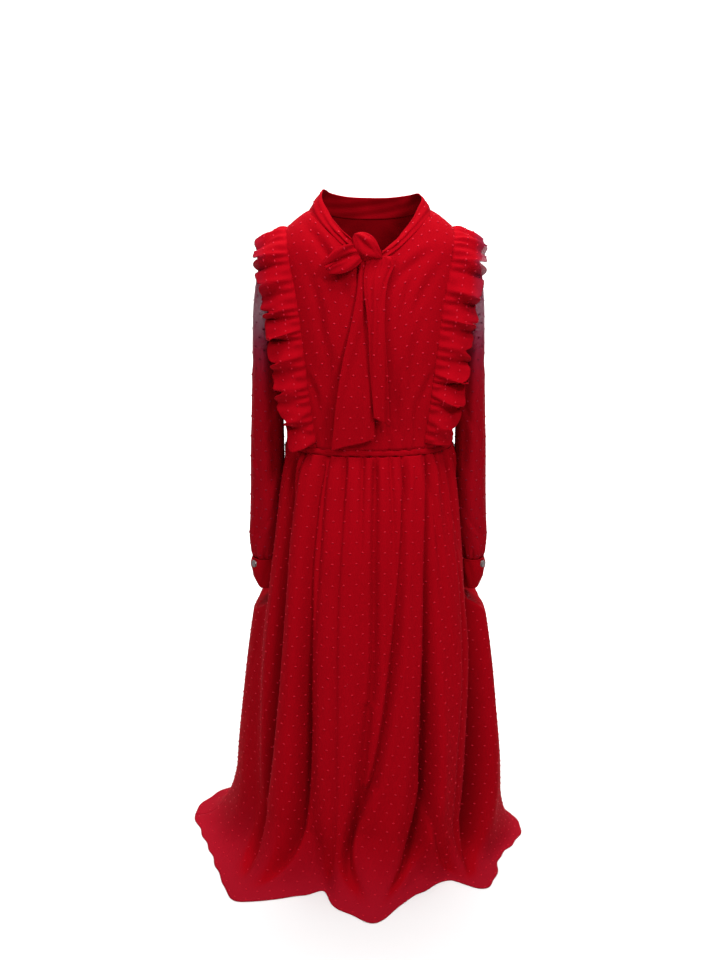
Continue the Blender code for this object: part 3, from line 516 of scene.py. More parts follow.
def dots(name, grid, places, phase=0.0, inside=None, margin=0.003):
    """The small clipped dots, as one mesh of two-humped tufts on a piece's outer side."""
    p, q = grid[:-1, :-1], places[:-1, :-1]
    side, down = grid[:-1, 1:] - p, grid[1:, :-1] - p
    side_q, down_q = places[:-1, 1:] - q, places[1:, :-1] - q
    area = side_q[..., 0] * down_q[..., 1] - side_q[..., 1] * down_q[..., 0]
    area = np.where(np.abs(area) < 1e-12, 1e-12, area)
    centre = q + (side_q + down_q) / 2
    line = np.round(centre[..., 1] / DOT_ROWS)
    shift = (line % 2) * 0.5 + phase
    column = np.round(centre[..., 0] / DOT_SPACING - shift)
    goal = vectors((column + shift) * DOT_SPACING, line * DOT_ROWS) - q
    s = (goal[..., 0] * down_q[..., 1] - goal[..., 1] * down_q[..., 0]) / area
    t = (goal[..., 1] * side_q[..., 0] - goal[..., 0] * side_q[..., 1]) / area
    v, ends = q[..., 1], np.sort(places[[0, -1], :-1, 1], axis=0)
    held = (s >= 0) & (s < 1) & (t >= 0) & (t < 1) & (v > ends[0] + margin) & (v < ends[1] - margin)
    at = (p + side * s[..., None] + down * t[..., None])[held]
    normal = outward(grid, axis_of(grid) if inside is None else inside)[:-1, :-1][held]
    along = unit(side[held])
    across = np.cross(normal, along)
    ring = np.radians(ring_turns(DOT_SIDES))
    rings = []
    for size, high in ((1.0, -0.2), (0.72, 0.75)):
        lift = high + (0.35 * np.cos(ring) ** 2 if high > 0 else 0 * ring)
        rings.append(at[:, None] + along[:, None] * (np.cos(ring) * DOT_LONG * size)[None, :, None]
                     + across[:, None] * (np.sin(ring) * DOT_SHORT * size)[None, :, None]
                     + normal[:, None] * (lift * DOT_HIGH)[None, :, None])
    top = (at + normal * DOT_HIGH * 0.62)[:, None]
    foot = (at - normal * DOT_HIGH * 0.25)[:, None]
    points = np.concatenate(rings + [top, foot], axis=1)
    k = np.arange(DOT_SIDES)
    n = (k + 1) % DOT_SIDES
    high_k, high_n = k + DOT_SIDES, n + DOT_SIDES
    top_point = 0 * k + 2 * DOT_SIDES
    foot_point = top_point + 1
    pattern = np.concatenate([np.stack(corners, -1) for corners in (
        (k, n, high_n), (k, high_n, high_k), (high_k, high_n, top_point), (n, k, foot_point))])
    faces = (np.arange(len(at))[:, None, None] * (2 * DOT_SIDES + 2) + pattern).reshape(-1, 3)
    return link_mesh(name, points.reshape(-1, 3), faces)


def body_point(turn, z):
    z = np.asarray(z, float)
    x, y = oval(turn, *read(BODY, "z", z, "half_width", "front", "back"), BODY_POWER)
    return vectors(x, y, z)


def body_normal(turn, z):
    small_turn, small_z = 1.5, 0.002
    along = body_point(turn + small_turn, z) - body_point(turn - small_turn, z)
    up = body_point(turn, z + small_z) - body_point(turn, z - small_z)
    return unit(np.cross(up, along))


def turn_at_x(x, z, back=False):
    share = np.minimum(1.0, np.abs(x) / read(BODY, "z", z, "half_width"))
    turn = np.degrees(np.arccos(np.sign(x) * share ** (BODY_POWER / 2)))
    return -turn if back else turn


def shoulder_z(x):
    """Height of the shoulder line at a distance from the middle."""
    x = np.abs(np.asarray(x, float))
    low, high = np.full(x.shape, BODY["z"][6]), np.full(x.shape, BODY["z"][-1])
    for _ in range(40):
        middle = (low + high) / 2
        wide = read(BODY, "z", middle, "half_width") > x
        low, high = np.where(wide, middle, low), np.where(wide, high, middle)
    return low


def neck_z(x, back=False):
    centre = 0.0 if back else NECK_CENTRE_X
    half = NECK_HALF_WIDTH - np.sign(x - centre) * centre
    share = np.minimum(1.0, np.abs(x - centre) / half)
    top = shoulder_z(NECK_HALF_WIDTH)
    if back:
        return top - BACK_NECK_DROP * (1 - share ** BACK_NECK_POWER)
    return top - FRONT_NECK_DROP * (1 - share ** FRONT_NECK_POWER)


def armhole_place(angle):
    """Turn and height on the bodice of the right armhole's edge; 0 is its top, 90 its front."""
    middle = (ARMHOLE_TOP_Z + ARMHOLE_BOTTOM_Z) / 2
    z = middle + (ARMHOLE_TOP_Z - middle) * np.cos(np.radians(angle))
    y = ARMHOLE_HALF_DEPTH * np.sin(np.radians(angle))
    depth = np.where(y > 0, *read(BODY, "z", z, "front", "back"))
    turn = np.degrees(np.arcsin(np.minimum(1.0, np.abs(y) / depth) ** (BODY_POWER / 2)))
    return np.sign(y) * turn, z


def creased(grid, normals, creases):
    """Press the soft creases of a table into a panel."""
    x, z = grid[..., 0], grid[..., 2]
    change = np.zeros(x.shape)
    for crease in rows_of(creases):
        a = math.radians(crease["angle"])
        along = (x - crease["x"]) * math.cos(a) + (z - crease["z"]) * math.sin(a)
        across = -(x - crease["x"]) * math.sin(a) + (z - crease["z"]) * math.cos(a)
        bend = across + 0.12 * along ** 2 / crease["long"]
        change -= 1.5 * crease["deep"] * bell(along, crease["long"]) * (
            bell(bend, crease["wide"]) - 0.55 * bell(bend - 1.9 * crease["wide"], crease["wide"]))
    return grid + normals * change[..., None]


def centre_panel(back):
    """Points of the middle of the front or back, up to neck and shoulders."""
    rows, columns = CENTRE_MESH
    across = np.sort(np.r_[np.linspace(-1, 1, columns), NECK_SHARE + 0.004, -NECK_SHARE - 0.004])
    top_x = across * SEAM_LINE["x"][-1]
    top = np.where(np.abs(across) >= NECK_SHARE, shoulder_z(top_x), neck_z(top_x, back))
    z = WAIST_Z + (top - WAIST_Z) * crowded(rows)[:, None]
    x = across * read(SEAM_LINE, "z", z, "x")
    turn = turn_at_x(x, z, back)
    grid, normals = body_point(turn, z), body_normal(turn, z)
    gather = smooth(-0.275, -0.303, z) * waves(x, (0.017, 0.1, 0.0007), (0.011, 0.4, 0.0004))
    grid = grid + normals * gather[..., None]
    grid = creased(grid, normals, BACK_CREASES if back else FRONT_CREASES)[::-1]
    return grid[:, ::-1] if back else grid


def side_panel(side, back):
    """Points of the panel from the ruffle's seam to the side seam and the armhole."""
    row_count, column_count = SIDE_MESH
    rows = crowded(row_count)
    under_arm = 1 - 0.5 ** ROW_POWER
    seam_z = WAIST_Z + (shoulder_z(SEAM_LINE["x"][-1]) - WAIST_Z) * rows
    seam = np.abs(turn_at_x(read(SEAM_LINE, "z", seam_z, "x"), seam_z))
    angle = 360.0 * (1 - rows) ** (1 / ROW_POWER)
    hole_turn, hole_z = armhole_place(-angle if back else angle)
    low = rows <= under_arm
    edge_turn = np.where(low, 0.0, np.abs(hole_turn))
    edge_z = np.where(low, WAIST_Z + (ARMHOLE_BOTTOM_Z - WAIST_Z) * rows / under_arm, hole_z)
    f = np.linspace(0, 1, column_count)
    turn = seam[:, None] + (edge_turn - seam)[:, None] * f
    z = seam_z[:, None] + (edge_z - seam_z)[:, None] * f
    if back:
        turn = -turn
    if side < 0:
        turn = 180.0 - turn
    grid, normals = body_point(turn, z), body_normal(turn, z)
    drape = waves(grid[..., 1] + 0.3 * z, (0.031, 0.2 * side, 0.0008), (0.019, 0.6, 0.0004))
    grid = (grid + normals * (drape * smooth(0, 0.15, f) * smooth(1, 0.85, f))[..., None])[::-1]
    return grid if (side > 0) != back else grid[:, ::-1]


def bodice(material, dot_material):
    for label, back in (("front", False), ("back", True)):
        pieces = [("bodice_centre_" + label, centre_panel(back), (0.24, 0.34), CENTRE_MESH[1] // 2 + 1)]
        for hand, side in SIDES:
            pieces.append(("bodice_side_%s_%s" % (label, hand), side_panel(side, back), (0.070, 0.28), 0))
        for name, grid, size, middle in pieces:
            places = cloth_places(grid[::-1], middle)[::-1]
            piece = cloth(name + "_cloth", grid, WALL, places)
            finish_piece(piece, material)
            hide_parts(name)
            finish_piece(dots(name + "_dots", grid, places), dot_material)


def even_path(place, steps):
    """Turns and heights at equal distances along a path given by a function of 0 to 1."""
    fine = np.linspace(0, 1, 1601)
    points = body_point(*place(fine))
    run = np.r_[0, np.cumsum(np.linalg.norm(np.diff(points, axis=0), axis=1))]
    return place(np.interp(np.linspace(0, run[-1], steps + 1), run, fine))


def ruffle(name, side, phase, material, dot_material):
    """The gathered frill, with its waves, the small tucks at its seam and its narrow rolled hem."""
    top = float(shoulder_z(SEAM_LINE["x"][-1]))
    bottom = WAIST_Z + RUFFLE_END

    def place(share):
        climb = 1 - np.abs(2 * share - 1)
        z = bottom + (top - bottom) * (1 - (1 - climb) ** 2)
        turn = turn_at_x(side * read(SEAM_LINE, "z", z, "x"), z)
        return np.where(share > 0.5, -turn, turn), z

    rows, wave_columns = RUFFLE_MESH
    steps = RUFFLE_WAVES * wave_columns
    turn, z = even_path(place, steps)
    seam, normal = body_point(turn, z), body_normal(turn, z)
    for _ in range(12):
        normal = unit(np.r_[normal[:1], normal[:-1]] + 2 * normal + np.r_[normal[1:], normal[-1:]])
    share = np.linspace(0, 1, steps + 1)
    f = np.linspace(0, 1, rows)[:, None]
    along = unit(np.gradient(seam, axis=0))
    sideways = unit(np.cross(along, normal))
    sideways *= np.sign(sideways[:, :1] * side)
    crown = bell(share - 0.5, 0.085)
    lift, width, wave = read(RUFFLE, "along", share, "lift", "width", "wave")
    lift = np.radians(lift)[:, None]
    out = sideways * np.cos(lift) + normal * np.sin(lift)
    face = normal * np.cos(lift) - sideways * np.sin(lift)

    # The waves: where they are, how high they stand and how they lean
    uneven = share + 0.006 * sine(3 * share + phase)
    angle = math.tau * (RUFFLE_WAVES * uneven + phase) + 0.45 * sine(6.7 * share + 2 * phase)
    wave = wave * (1 + 0.30 * sine(5.3 * share + phase) + 0.18 * sine(9.1 * share))
    wave = wave * (1 + 0.22 * sine(3.7 * share + 1.6 * phase))
    lean = RUFFLE_LEAN * np.cos(math.pi * share) * (0.62 + 0.55 * sine(4.6 * share + 1.3 * phase))
    swing = RUFFLE_SWING * wave * f ** (1.05 - 0.15 * np.sin(angle))
    roll = np.sin(angle) + f * (0.28 * np.sin(2 * angle + 0.5) + 0.10 * np.sin(3.3 * angle + 2.0))
    slant = swing * (0.16 * np.sin(2 * angle) - lean * np.sin(angle))
    notch = 0.24 * np.maximum(0, np.sin(angle + 0.3)) ** 3 - 0.035 * np.sin(2.6 * angle + 1.0)
    reach = width * f * (1.04 - notch * f) - 0.0024 * (1 - smooth(0, 0.08, f))

    # The small tucks, and the arch of the cloth from seam to hem
    tuck = 0.0013 * smooth(0.0, 0.06, f) * bell(f - 0.1, 0.28) * np.sin(3.1 * angle + 0.6 * np.sin(angle))
    tuck = tuck + 0.0008 * smooth(0.2, 0.9, f) * np.sin(2.2 * angle + 9 * f + 1.0)
    arch = RUFFLE_ARCH * (1 - 0.55 * crown) * np.sin(math.pi * f ** (0.8 - 0.3 * crown))
    off_seam = 0.0005 + 0.0011 * smooth(0.03, 0.12, f)
    grid = (seam + normal * off_seam[..., None] + out * reach[..., None]
            + face * (swing * roll + arch + tuck)[..., None] + along * slant[..., None])

    thickness = WALL + 0.0008 * smooth(0.90, 0.97, f)
    run = np.cumsum(np.r_[0, np.linalg.norm(np.diff(grid[-1], axis=0), axis=1)])
    places = vectors(run - run[-1] / 2, width.mean() * f)
    veil = (0.55 if side > 0 else 0.16) * smooth(0.55, 1.0, f) * bell(share - 0.44, 0.10)
    piece = cloth(name + "_cloth", grid, thickness, places, veil)
    finish_piece(piece, material)
    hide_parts(name)
    finish_piece(dots(name + "_dots", grid, places, phase=0.3), dot_material)


def sleeve_rows(count):
    """Sleeve table, read at even steps along it."""
    index = np.arange(len(SLEEVE["front"]), dtype=float)
    at = np.linspace(0, index[-1], count)
    return dict(zip(SLEEVE, read(dict(SLEEVE, index=index), "index", at, *SLEEVE))), at / index[-1]


def sleeve_grid(rows, share, side, turn):
    """Rings of a sleeve from its rows, with long folds, drag lines and the gathers at the cuff."""
    outer_x = rows["outer_x"] - (RIGHT_SLEEVE_TRIM * smooth(0.0, 0.25, share) if side > 0 else 0.0)
    inner_x, outer_z, inner_z = rows["inner_x"], rows["outer_z"], rows["inner_z"]
    middle = vectors((outer_x + inner_x) / 2, 0, (outer_z + inner_z) / 2)[:, None]
    half = vectors((outer_x - inner_x) / 2, 0, (outer_z - inner_z) / 2)[:, None]
    c, s = np.cos(np.radians(turn)), np.sin(np.radians(turn))
    grid = middle + half * c[:, None]
    grid[..., 1] -= s * np.where(s > 0, rows["front"][:, None], rows["back"][:, None])
    share = share[:, None]
    dent = smooth(0.80, 0.95, share) * (0.0011 * np.cos(math.tau * 8 * turn / 360)
                                        + 0.0006 * np.cos(math.tau * 19 * turn / 360 + 1))
    for fold in rows_of(SLEEVE_FOLDS):
        reach = window(fold["start"], fold["start"] + 0.15, fold["end"] - 0.15, fold["end"], share)
        dent += fold["depth"] * reach * bell(apart(turn, fold["turn"]), fold["spread"])
    for drag in rows_of(SLEEVE_DRAGS):
        a = apart(turn, drag["turn"])
        b = share - drag["along"] - drag["slope"] * a / 360
        dent += drag["depth"] * bell(a, drag["length"]) * (
            bell(b, drag["spread"]) - 0.6 * bell(b - 0.03, drag["spread"]))
    grid += unit(middle - grid) * dent[..., None]
    grid[..., 0] *= side
    return grid


def sleeve(name, side, material, dot_material):
    row_count, steps = SLEEVE_MESH
    turn = ring_turns(steps)
    first = body_point(*armhole_place(apart(turn, 0.0)))
    first[:, 0] = (first[:, 0] + 0.0006) * side
    rows, share = sleeve_rows(row_count)
    lower = sleeve_grid(rows, share, side, turn)
    head = np.linspace(0, 1, SLEEVE_HEAD_ROWS)[:-1, None, None]
    grid = np.concatenate((first * (1 - head) + lower[:1] * head, lower))
    down = lengths(grid, 0).mean(axis=1, keepdims=True)
    puff = 0.0010 * window(0.0, 0.012, 0.02, 0.05, down) * np.cos(math.tau * 13 * turn / 360)
    grid = grid + outward(grid, grid.mean(axis=1, keepdims=True), True) * puff[..., None]
    ring = closed(grid)
    places = vectors(lengths(ring, 1).mean(axis=0), down)
    veil = 0.02 + 0.76 * bell(grid[..., 2] + 0.125, 0.060) * smooth(0.125, 0.15, np.abs(grid[..., 0]))
    middle = grid.mean(axis=1, keepdims=True)
    piece = cloth(name + "_cloth", grid, WALL, places[:, :-1], veil, round_rows=True, inside=middle)
    finish_piece(piece, material)
    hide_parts(name)
    finish_piece(dots(name + "_dots", ring, places, phase=0.15, inside=middle), dot_material)


def cuff(name, side, material):
    """The plain cuff, lapped over itself in front, with its edge stitching pressed in."""
    rows, steps = CUFF_MESH
    turn = ring_turns(steps)
    down = np.linspace(0, 1, rows)[:, None]
    grow, shift = read(CUFF, "down", down, "grow", "shift")
    end = {column: SLEEVE[column][-1] for column in SLEEVE}
    outer_x = end["outer_x"] - (RIGHT_SLEEVE_TRIM if side > 0 else 0.0)
    c, s = np.cos(np.radians(turn)), np.sin(np.radians(turn))
    x = (outer_x + end["inner_x"]) / 2 + shift + ((outer_x - end["inner_x"]) / 2 + grow) * c
    depth = np.where(s > 0, end["front"], end["back"]) + grow
    z = CUFF_TOP_Z - CUFF_DEPTH * down + CUFF_RISE * smooth(0.3, 1.0, c) * down
    grid = vectors(side * x, -s * depth, z)
    lap = window(16, 19, 19, 80, turn)
    stitch = 0.0003 * (bell(down - 0.08, 0.015) + bell(down - 0.92, 0.015))
    crumple = waves(turn + 30 * down, (61.0, 0.1, 0.0007), (37.0, 0.6, 0.0004)) * np.sin(math.pi * down)
    middle = grid.mean(axis=1, keepdims=True)
    grid = grid + outward(grid, middle, True) * (0.0008 * lap - stitch + crumple)[..., None]
    piece = cloth(name + "_cloth", grid, BAND_WALL, tube_places(grid), 0.0, round_rows=True, inside=middle)
    finish_piece(piece, material)
    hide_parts(name)


def fold_depth(turn, z):
    """Depth of the skirt's main folds."""
    down = (SKIRT_TOP_Z - z) / (SKIRT_TOP_Z - FLOOR_Z)
    total = 0 * (turn + z)
    for fold in rows_of(FOLDS):
        f = (down - FOLD_MIDDLE) / (1 - FOLD_MIDDLE)
        high = down < FOLD_MIDDLE
        centre = np.where(high, fold["waist"] + (fold["middle"] - fold["waist"]) * down / FOLD_MIDDLE,
                          fold["middle"] + (fold["floor"] - fold["middle"]) * f)
        depth = np.where(high, fold["mid_depth"] * smooth(0.02, 0.40, down),
                         fold["mid_depth"] + (fold["floor_depth"] - fold["mid_depth"]) * f)
        total = total + depth * bell(apart(turn, centre), fold["spread"])
    return total


def gather_shape(turn):
    """For each turn: the puff of the cloth between two tucks, the tuck's depth and its reach."""
    tucks = GATHERS["turn"]
    k = (np.searchsorted(tucks, turn % 360.0, side="right") - 1) % len(tucks)
    after = (k + 1) % len(tucks)
    share = ((turn - tucks[k]) % 360.0) / ((tucks[after] - tucks[k]) % 360.0)
    puff = np.interp(share, *PUFF)
    blend = smooth(0.25, 0.75, share)
    depth, reach = (GATHERS[column][k] * (1 - blend) + GATHERS[column][after] * blend
                    for column in ("depth", "reach"))
    return puff, depth, reach


def skirt_points(turn, z):
    x, y = oval(turn, *read(SKIRT, "z", z, "half_width", "front", "back"), SKIRT_POWER)
    radius = np.hypot(x, y)
    puff, depth, reach = gather_shape(turn)
    fade = 1 - smooth(0.0, 1.0, (SKIRT_TOP_Z - z) / reach)
    fine = 0.0007 * np.sin(math.tau * turn / 7.3 + 2 * sine(turn / 47)) * (
        1 - smooth(0.0, 0.09, SKIRT_TOP_Z - z))
    change = 1 + (puff * depth * (0.15 + 0.85 * fade) + fine - fold_depth(turn, z)) / radius
    x, y = x * change, y * change

    # Beside the hanging sleeves the skirt is pressed flat, with a soft bend into the flat place
    room = ARM_ROOM["x"] + 0.02 * (np.abs(y - ARM_ROOM["y"]) / ARM_ROOM["half_depth"]) ** 4
    room = room + 1.7 * np.maximum(0.0, ARM_ROOM["bottom"] - z) + 0.2 * np.maximum(0.0, z - ARM_ROOM["top"])
    over, soft = np.abs(x) - room, ARM_ROOM["soft"]
    bend = np.abs(x) - (over + soft) ** 2 / (4 * soft)
    pressed = np.where(over > soft, room, np.where(over < -soft, np.abs(x), bend))
    return vectors(np.sign(x) * pressed, y, z)


def skirt_grid():
    """The whole skirt, waist to hem, its rows that hang, and how far its sharp folds are pressed in."""
    turn = ring_turns(SKIRT_COLUMNS) + 0.001
    hanging = np.r_[np.linspace(0, GATHER_SHARE, SKIRT_ROWS["gathers"]),
                    np.linspace(GATHER_SHARE, 1, SKIRT_ROWS["hanging"])[1:]][:, None]
    foot = skirt_points(turn, np.full(turn.shape, FOOT_Z))
    foot_turn = np.degrees(np.arctan2(-foot[..., 1], foot[..., 0]))
    foot_turn = np.where(foot_turn < HEM["turn"][0], foot_turn + 360.0, foot_turn)
    reach, start_z = read(HEM, "turn", foot_turn, "reach", "start")
    start_z = np.minimum(start_z, HIGHEST_START_Z)
    upper = skirt_points(turn, SKIRT_TOP_Z + (start_z - SKIRT_TOP_Z) * hanging)

    # The last rows run out over the floor, to the hem's reach
    start = upper[-1]
    radius = np.hypot(start[:, 0], start[:, 1])
    f = np.linspace(0, 1, SKIRT_ROWS["floor"])[1:, None]
    out = radius + (reach - radius) * (0.42 * f + 0.58 * f ** 1.8)
    out = np.maximum(radius + 0.002 * f, out) + 0.0012 * sine(turn / 9.7) * smooth(0.6, 1, f)
    lowest = FLOOR_Z + WALL + 0.0006
    z = start_z + (lowest - start_z) * (1 - (1 - f) ** 2.3)
    grid = np.concatenate((upper, vectors(start[:, 0] / radius * out, start[:, 1] / radius * out, z)))

    share = np.linspace(0, 1, len(grid))[:, None]
    press, ridge = 0 * grid[..., 0], 0 * grid[..., 0]
    for valley in rows_of(VALLEYS):
        turns = table("share turn", *zip(VALLEY_SHARES, [valley["t%d" % k] for k in range(1, 7)]))
        centre = read(turns, "share", share, "turn")
        depth = valley["top_depth"] + (valley["low_depth"] - valley["top_depth"]) * smooth(0.15, 0.62, share)
        depth = depth * window(0.0, 0.05, 0.70, 0.96, share)
        away = apart(turn, centre)
        to_front = np.sign(90 - centre) * away > 0
        press = press + depth * bell(away, valley["spread"] * np.where(to_front, 0.55, 1.15))
        ridge = ridge + 0.34 * depth * bell(away + 2.3 * valley["spread"], 1.5 * valley["spread"])
    flat = unit(grid * np.array((1.0, 1.0, 0.0)))
    near_arm = bell(grid[..., 2] + 0.46, 0.10) * smooth(0.108, 0.118, np.abs(grid[..., 0]))
    way = flat + UP * smooth(0.66, 0.90, share)[..., None]
    grid = grid - way * (press - ridge * (1 - near_arm))[..., None]
    grid[..., 2] = np.maximum(grid[..., 2], lowest)
    return grid, len(hanging), press


def skirt(material, dot_material):
    grid, hanging, press = skirt_grid()
    lower = smooth(0, 1, np.linspace(0, 1, len(grid) - hanging + 8))
    # The veil: sheerness towards the hem, less a painted shade where the folds are pressed in
    veil = 0.10 * np.r_[np.zeros(hanging - 8), lower][:, None] - np.clip(press / FULL_PAINTED_SHADE_PRESS, 0, 1)
    half = SKIRT_COLUMNS // 2
    for name, first in (("skirt_front", 0), ("skirt_back", half)):
        chosen = np.arange(first, first + half + 1) % SKIRT_COLUMNS
        part = grid[:, chosen]
        places = cloth_places(part, len(chosen) // 2, level=0.7)
        piece = cloth(name + "_cloth", part, WALL, places, veil[:, chosen], flat_top=SKIRT_TOP_Z)
        finish_piece(piece, material)
        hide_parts(name)
        finish_piece(dots(name + "_dots", part, places, phase=0.1), dot_material)


def waistband(material):
    rows, steps = WAISTBAND_MESH
    turn = ring_turns(steps)
    down = np.linspace(0, 1, rows)[:, None]
    z = WAIST_Z + 0.0001 - (BAND_DEPTH + 0.0008) * down
    bulge = 0.0013 * np.sin(math.pi * down) ** 0.5 - 0.0005
    bulge = bulge - 0.0003 * (bell(down - 0.16, 0.04) + bell(down - 0.84, 0.04))
    bulge = bulge + 0.0004 * np.sin(math.tau * turn / 11.0 + 2 * down) * np.sin(math.pi * down)
    half_width, front, back = (BODY[column][1] + bulge for column in ("half_width", "front", "back"))
    grid = vectors(*oval(turn, half_width, front, back, BODY_POWER), z)
    piece = cloth("waistband_cloth", grid, BAND_WALL, tube_places(grid), 0.0, round_rows=True)
    finish_piece(piece, material)
    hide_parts("waistband")


def neck_band(material, dot_material):
    """The soft stand, rolled at its top edge and crumpled towards the knot."""
    rows, columns = NECK_BAND_MESH
    turn = np.linspace(NECK_BAND["turn"][0], NECK_BAND["turn"][-1], columns)
    across = np.cos(np.radians(turn))
    back = (turn > 0) & (turn < 180)
    x = np.where(back, 0.0, NECK_CENTRE_X * (1 - np.abs(across))) + NECK_HALF_WIDTH * across
    z = np.where(back, neck_z(x, True), neck_z(x, False))
    place = turn_at_x(x, z)
    base = body_point(np.where(back, -place, place), z) - 0.0012 * UP
    inward = unit(base * np.array((-1.0, -1.0, 0.0)))
    lean, height = read(NECK_BAND, "turn", turn[:, None], "lean", "height")
    lean = np.radians(lean)
    rise = UP * np.cos(lean) + inward * np.sin(lean)
    f = np.linspace(0, 1, rows)[:, None]
    near_knot = bell(turn - 264, 30) + 0.6 * bell(turn + 84, 26)
    bow = f * waves(turn, (51.0, 0.0, 0.0009), (27.0, 0.3, 0.0006)) - 0.0016 * np.sin(math.pi * f)
    crease = (0.0016 * near_knot + 0.0004) * sine(2.2 * f + turn / 70)
    crease = crease + 0.0016 * f * near_knot * sine(turn / 17 - 1.4 * f)
    grid = base + rise * height * f[..., None] + inward * (bow + crease)[..., None]
    thickness = BAND_WALL * (0.55 + 0.45 * np.sin(math.pi * np.clip(f, 0, 0.97)) ** 0.3)
    places = vectors(lengths(grid, 1), lengths(grid, 0))
    piece = cloth("neck_band_cloth", grid, thickness, places, 0.0)
    finish_piece(piece, material)
    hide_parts("neck_band")
    finish_piece(dots("neck_band_dots", grid, places), dot_material)


def tie_end(name, rows, slant, phase, material, dot_material):
    """A hanging end of the tie, pleated where it leaves the knot, with a narrow turned edge."""
    row_count, columns = TIE_MESH
    top, bottom = rows["z"][-1], rows["z"][0]
    share = np.linspace(0, 1, row_count)[:, None]
    f = np.linspace(0, 1, columns)
    z = top + (bottom - top) * share
    left, right, reach = read(rows, "z", z, "left", "right", "reach")
    ripple = TIE_RIPPLE * sine(f * 1.1 + phase + 0.5 * share) * smooth(0, 0.2, share)
    pleat = 0.0009 * sine(f * 3.3 + 0.2) * bell(share, 0.28)
    fine = 0.0004 * sine(2.3 * f + 1.7 * share + phase)
    edge = 0.0004 * (bell(f - 0.04, 0.02) + bell(f - 0.96, 0.02))
    drop = slant * (f - 0.5) * smooth(0.6, 1.0, share)
    x = left + (right - left) * f + 0.0010 * sine(1.6 * share + phase) * (f - 0.5)
    grid = vectors(x, -reach + ripple + pleat + fine - edge, z + drop)
    places = cloth_places(grid, columns // 2)
    piece = cloth(name + "_cloth", grid, TIE_WALL, places, 0.0)
    finish_piece(piece, material)
    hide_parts(name)
    finish_piece(dots(name + "_dots", grid, places, phase=0.2), dot_material)


def bow_loop(material, dot_material):
    """The bow's one loop, a folded strip gathered into the knot."""
    rows, columns = LOOP_MESH
    out = unit(LOOP_DIRECTION)
    to_front = np.array((0.0, -1.0, 0.0))
    depth_way = unit(to_front - out * out.dot(to_front))
    width_way = unit(np.cross(out, depth_way))
    start = KNOT_AT + out * LOOP_START
    angle = np.linspace(0, math.pi, rows)[:, None]
    along, layer = np.sin(angle), np.cos(angle)
    width, depth = read(LOOP, "along", along, "width", "depth")
    gap = np.sign(layer) * np.abs(layer) ** 0.6 * depth / 2
    f = np.linspace(-0.5, 0.5, columns)
    crease = 0.0013 * sine(2.6 * f + 0.3 * along) * (1 - along) ** 0.6
    crease = crease + 0.0006 * sine(1.3 * f + 1.1 * along + 0.2)
    valley = 0.0075 * bell(f - 0.02 - 0.10 * along, 0.09) * smooth(0.0, 0.30, along)
    crease = crease - np.sign(layer) * valley * np.abs(layer) ** 0.5
    grid = (start + out * (LOOP_LENGTH * along)[..., None] + width_way * (width * f)[..., None]
            + depth_way * (gap + crease)[..., None])
    places = cloth_places(grid, columns // 2)
    middle = grid.mean(axis=(0, 1))
    piece = cloth("bow_loop_cloth", grid, TIE_WALL, places, 0.0, inside=middle)
    finish_piece(piece, material)
    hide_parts("bow_loop")
    finish_piece(dots("bow_loop_dots", grid, places, phase=0.4, inside=middle), dot_material)


def bow_knot(material, dot_material):
    """The knot: a strip wrapped round the loop's foot, creased and drawn in to its lower end."""
    rows, steps = KNOT_MESH
    turn = ring_turns(steps)
    place = -np.cos(np.linspace(0.03, math.pi - 0.03, rows))[:, None]
    a = np.radians(turn)
    folds = 0.17 * np.cos(5 * a + 1.3 * place + 0.4) + 0.08 * np.cos(9 * a - 2.0 * place)
    folds = folds + 0.05 * np.cos(3 * a + 3.0 * place + 1.0) - 0.10 * bell(apart(turn, 222) + 26 * place, 13)
    size = np.sqrt(1 - place ** 2) * (1 - KNOT_TAPER * place) * (0.97 + folds * (1 - 0.5 * place ** 2))
    x = KNOT_RADII[0] * place * (1 + 0.03 * np.cos(2 * a + 1))
    y, z = KNOT_RADII[1] * np.cos(a) * size, KNOT_RADII[2] * np.sin(a) * size
    z = z * np.where(z < 0, 1 + 0.75 * bell(place - 0.05, 0.62), 1.0)
    tilt = math.radians(KNOT_TILT)
    grid = KNOT_AT + vectors(
        x * math.cos(tilt) + z * math.sin(tilt), y, -x * math.sin(tilt) + z * math.cos(tilt))
    places = vectors(np.radians(np.append(turn, 360.0)) * 0.0105, KNOT_RADII[0] * (place + 1))
    middle = grid.mean(axis=1, keepdims=True)
    knot = cloth("bow_knot_cloth", grid, KNOT_WALL, places[:, :-1], 0.0, round_rows=True, inside=middle)
    finish_piece(knot, material)
    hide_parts("bow_knot")
    tufts = dots("bow_knot_dots", closed(grid), places, phase=0.1, inside=middle, margin=0.006)
    finish_piece(tufts, dot_material)


def new_material(name, **values):
    """A material, its nodes, and its main shader with these inputs (_ stands for a space)."""
    material = bpy.data.materials.new(name)
    material.use_nodes = True
    shader = material.node_tree.nodes["Principled BSDF"]
    for key, value in values.items():
        shader.inputs[key.replace("_", " ")].default_value = value
    return material, material.node_tree, shader


def add_node(tree, kind, *sources, **values):
    """A node with its properties and inputs by name; sources go into its first inputs."""
    node = tree.nodes.new(kind)
    feeds = []
    for key, value in values.items():
        if hasattr(node, key):
            setattr(node, key, value)
        else:
            feeds.append((node.inputs[key.replace("_", " ")], value))
    for socket, value in feeds + list(zip(node.inputs, sources)):
        if isinstance(value, bpy.types.NodeSocket):
            tree.links.new(value, socket)
        else:
            socket.default_value = (*value, 1) if isinstance(value, tuple) else value
    return node.outputs


def blended(tree, share, a, b, **values):
    """A blend of two colours."""
    return add_node(tree, "ShaderNodeMix", data_type="RGBA", Factor=share, A=a, B=b, **values)["Result"]


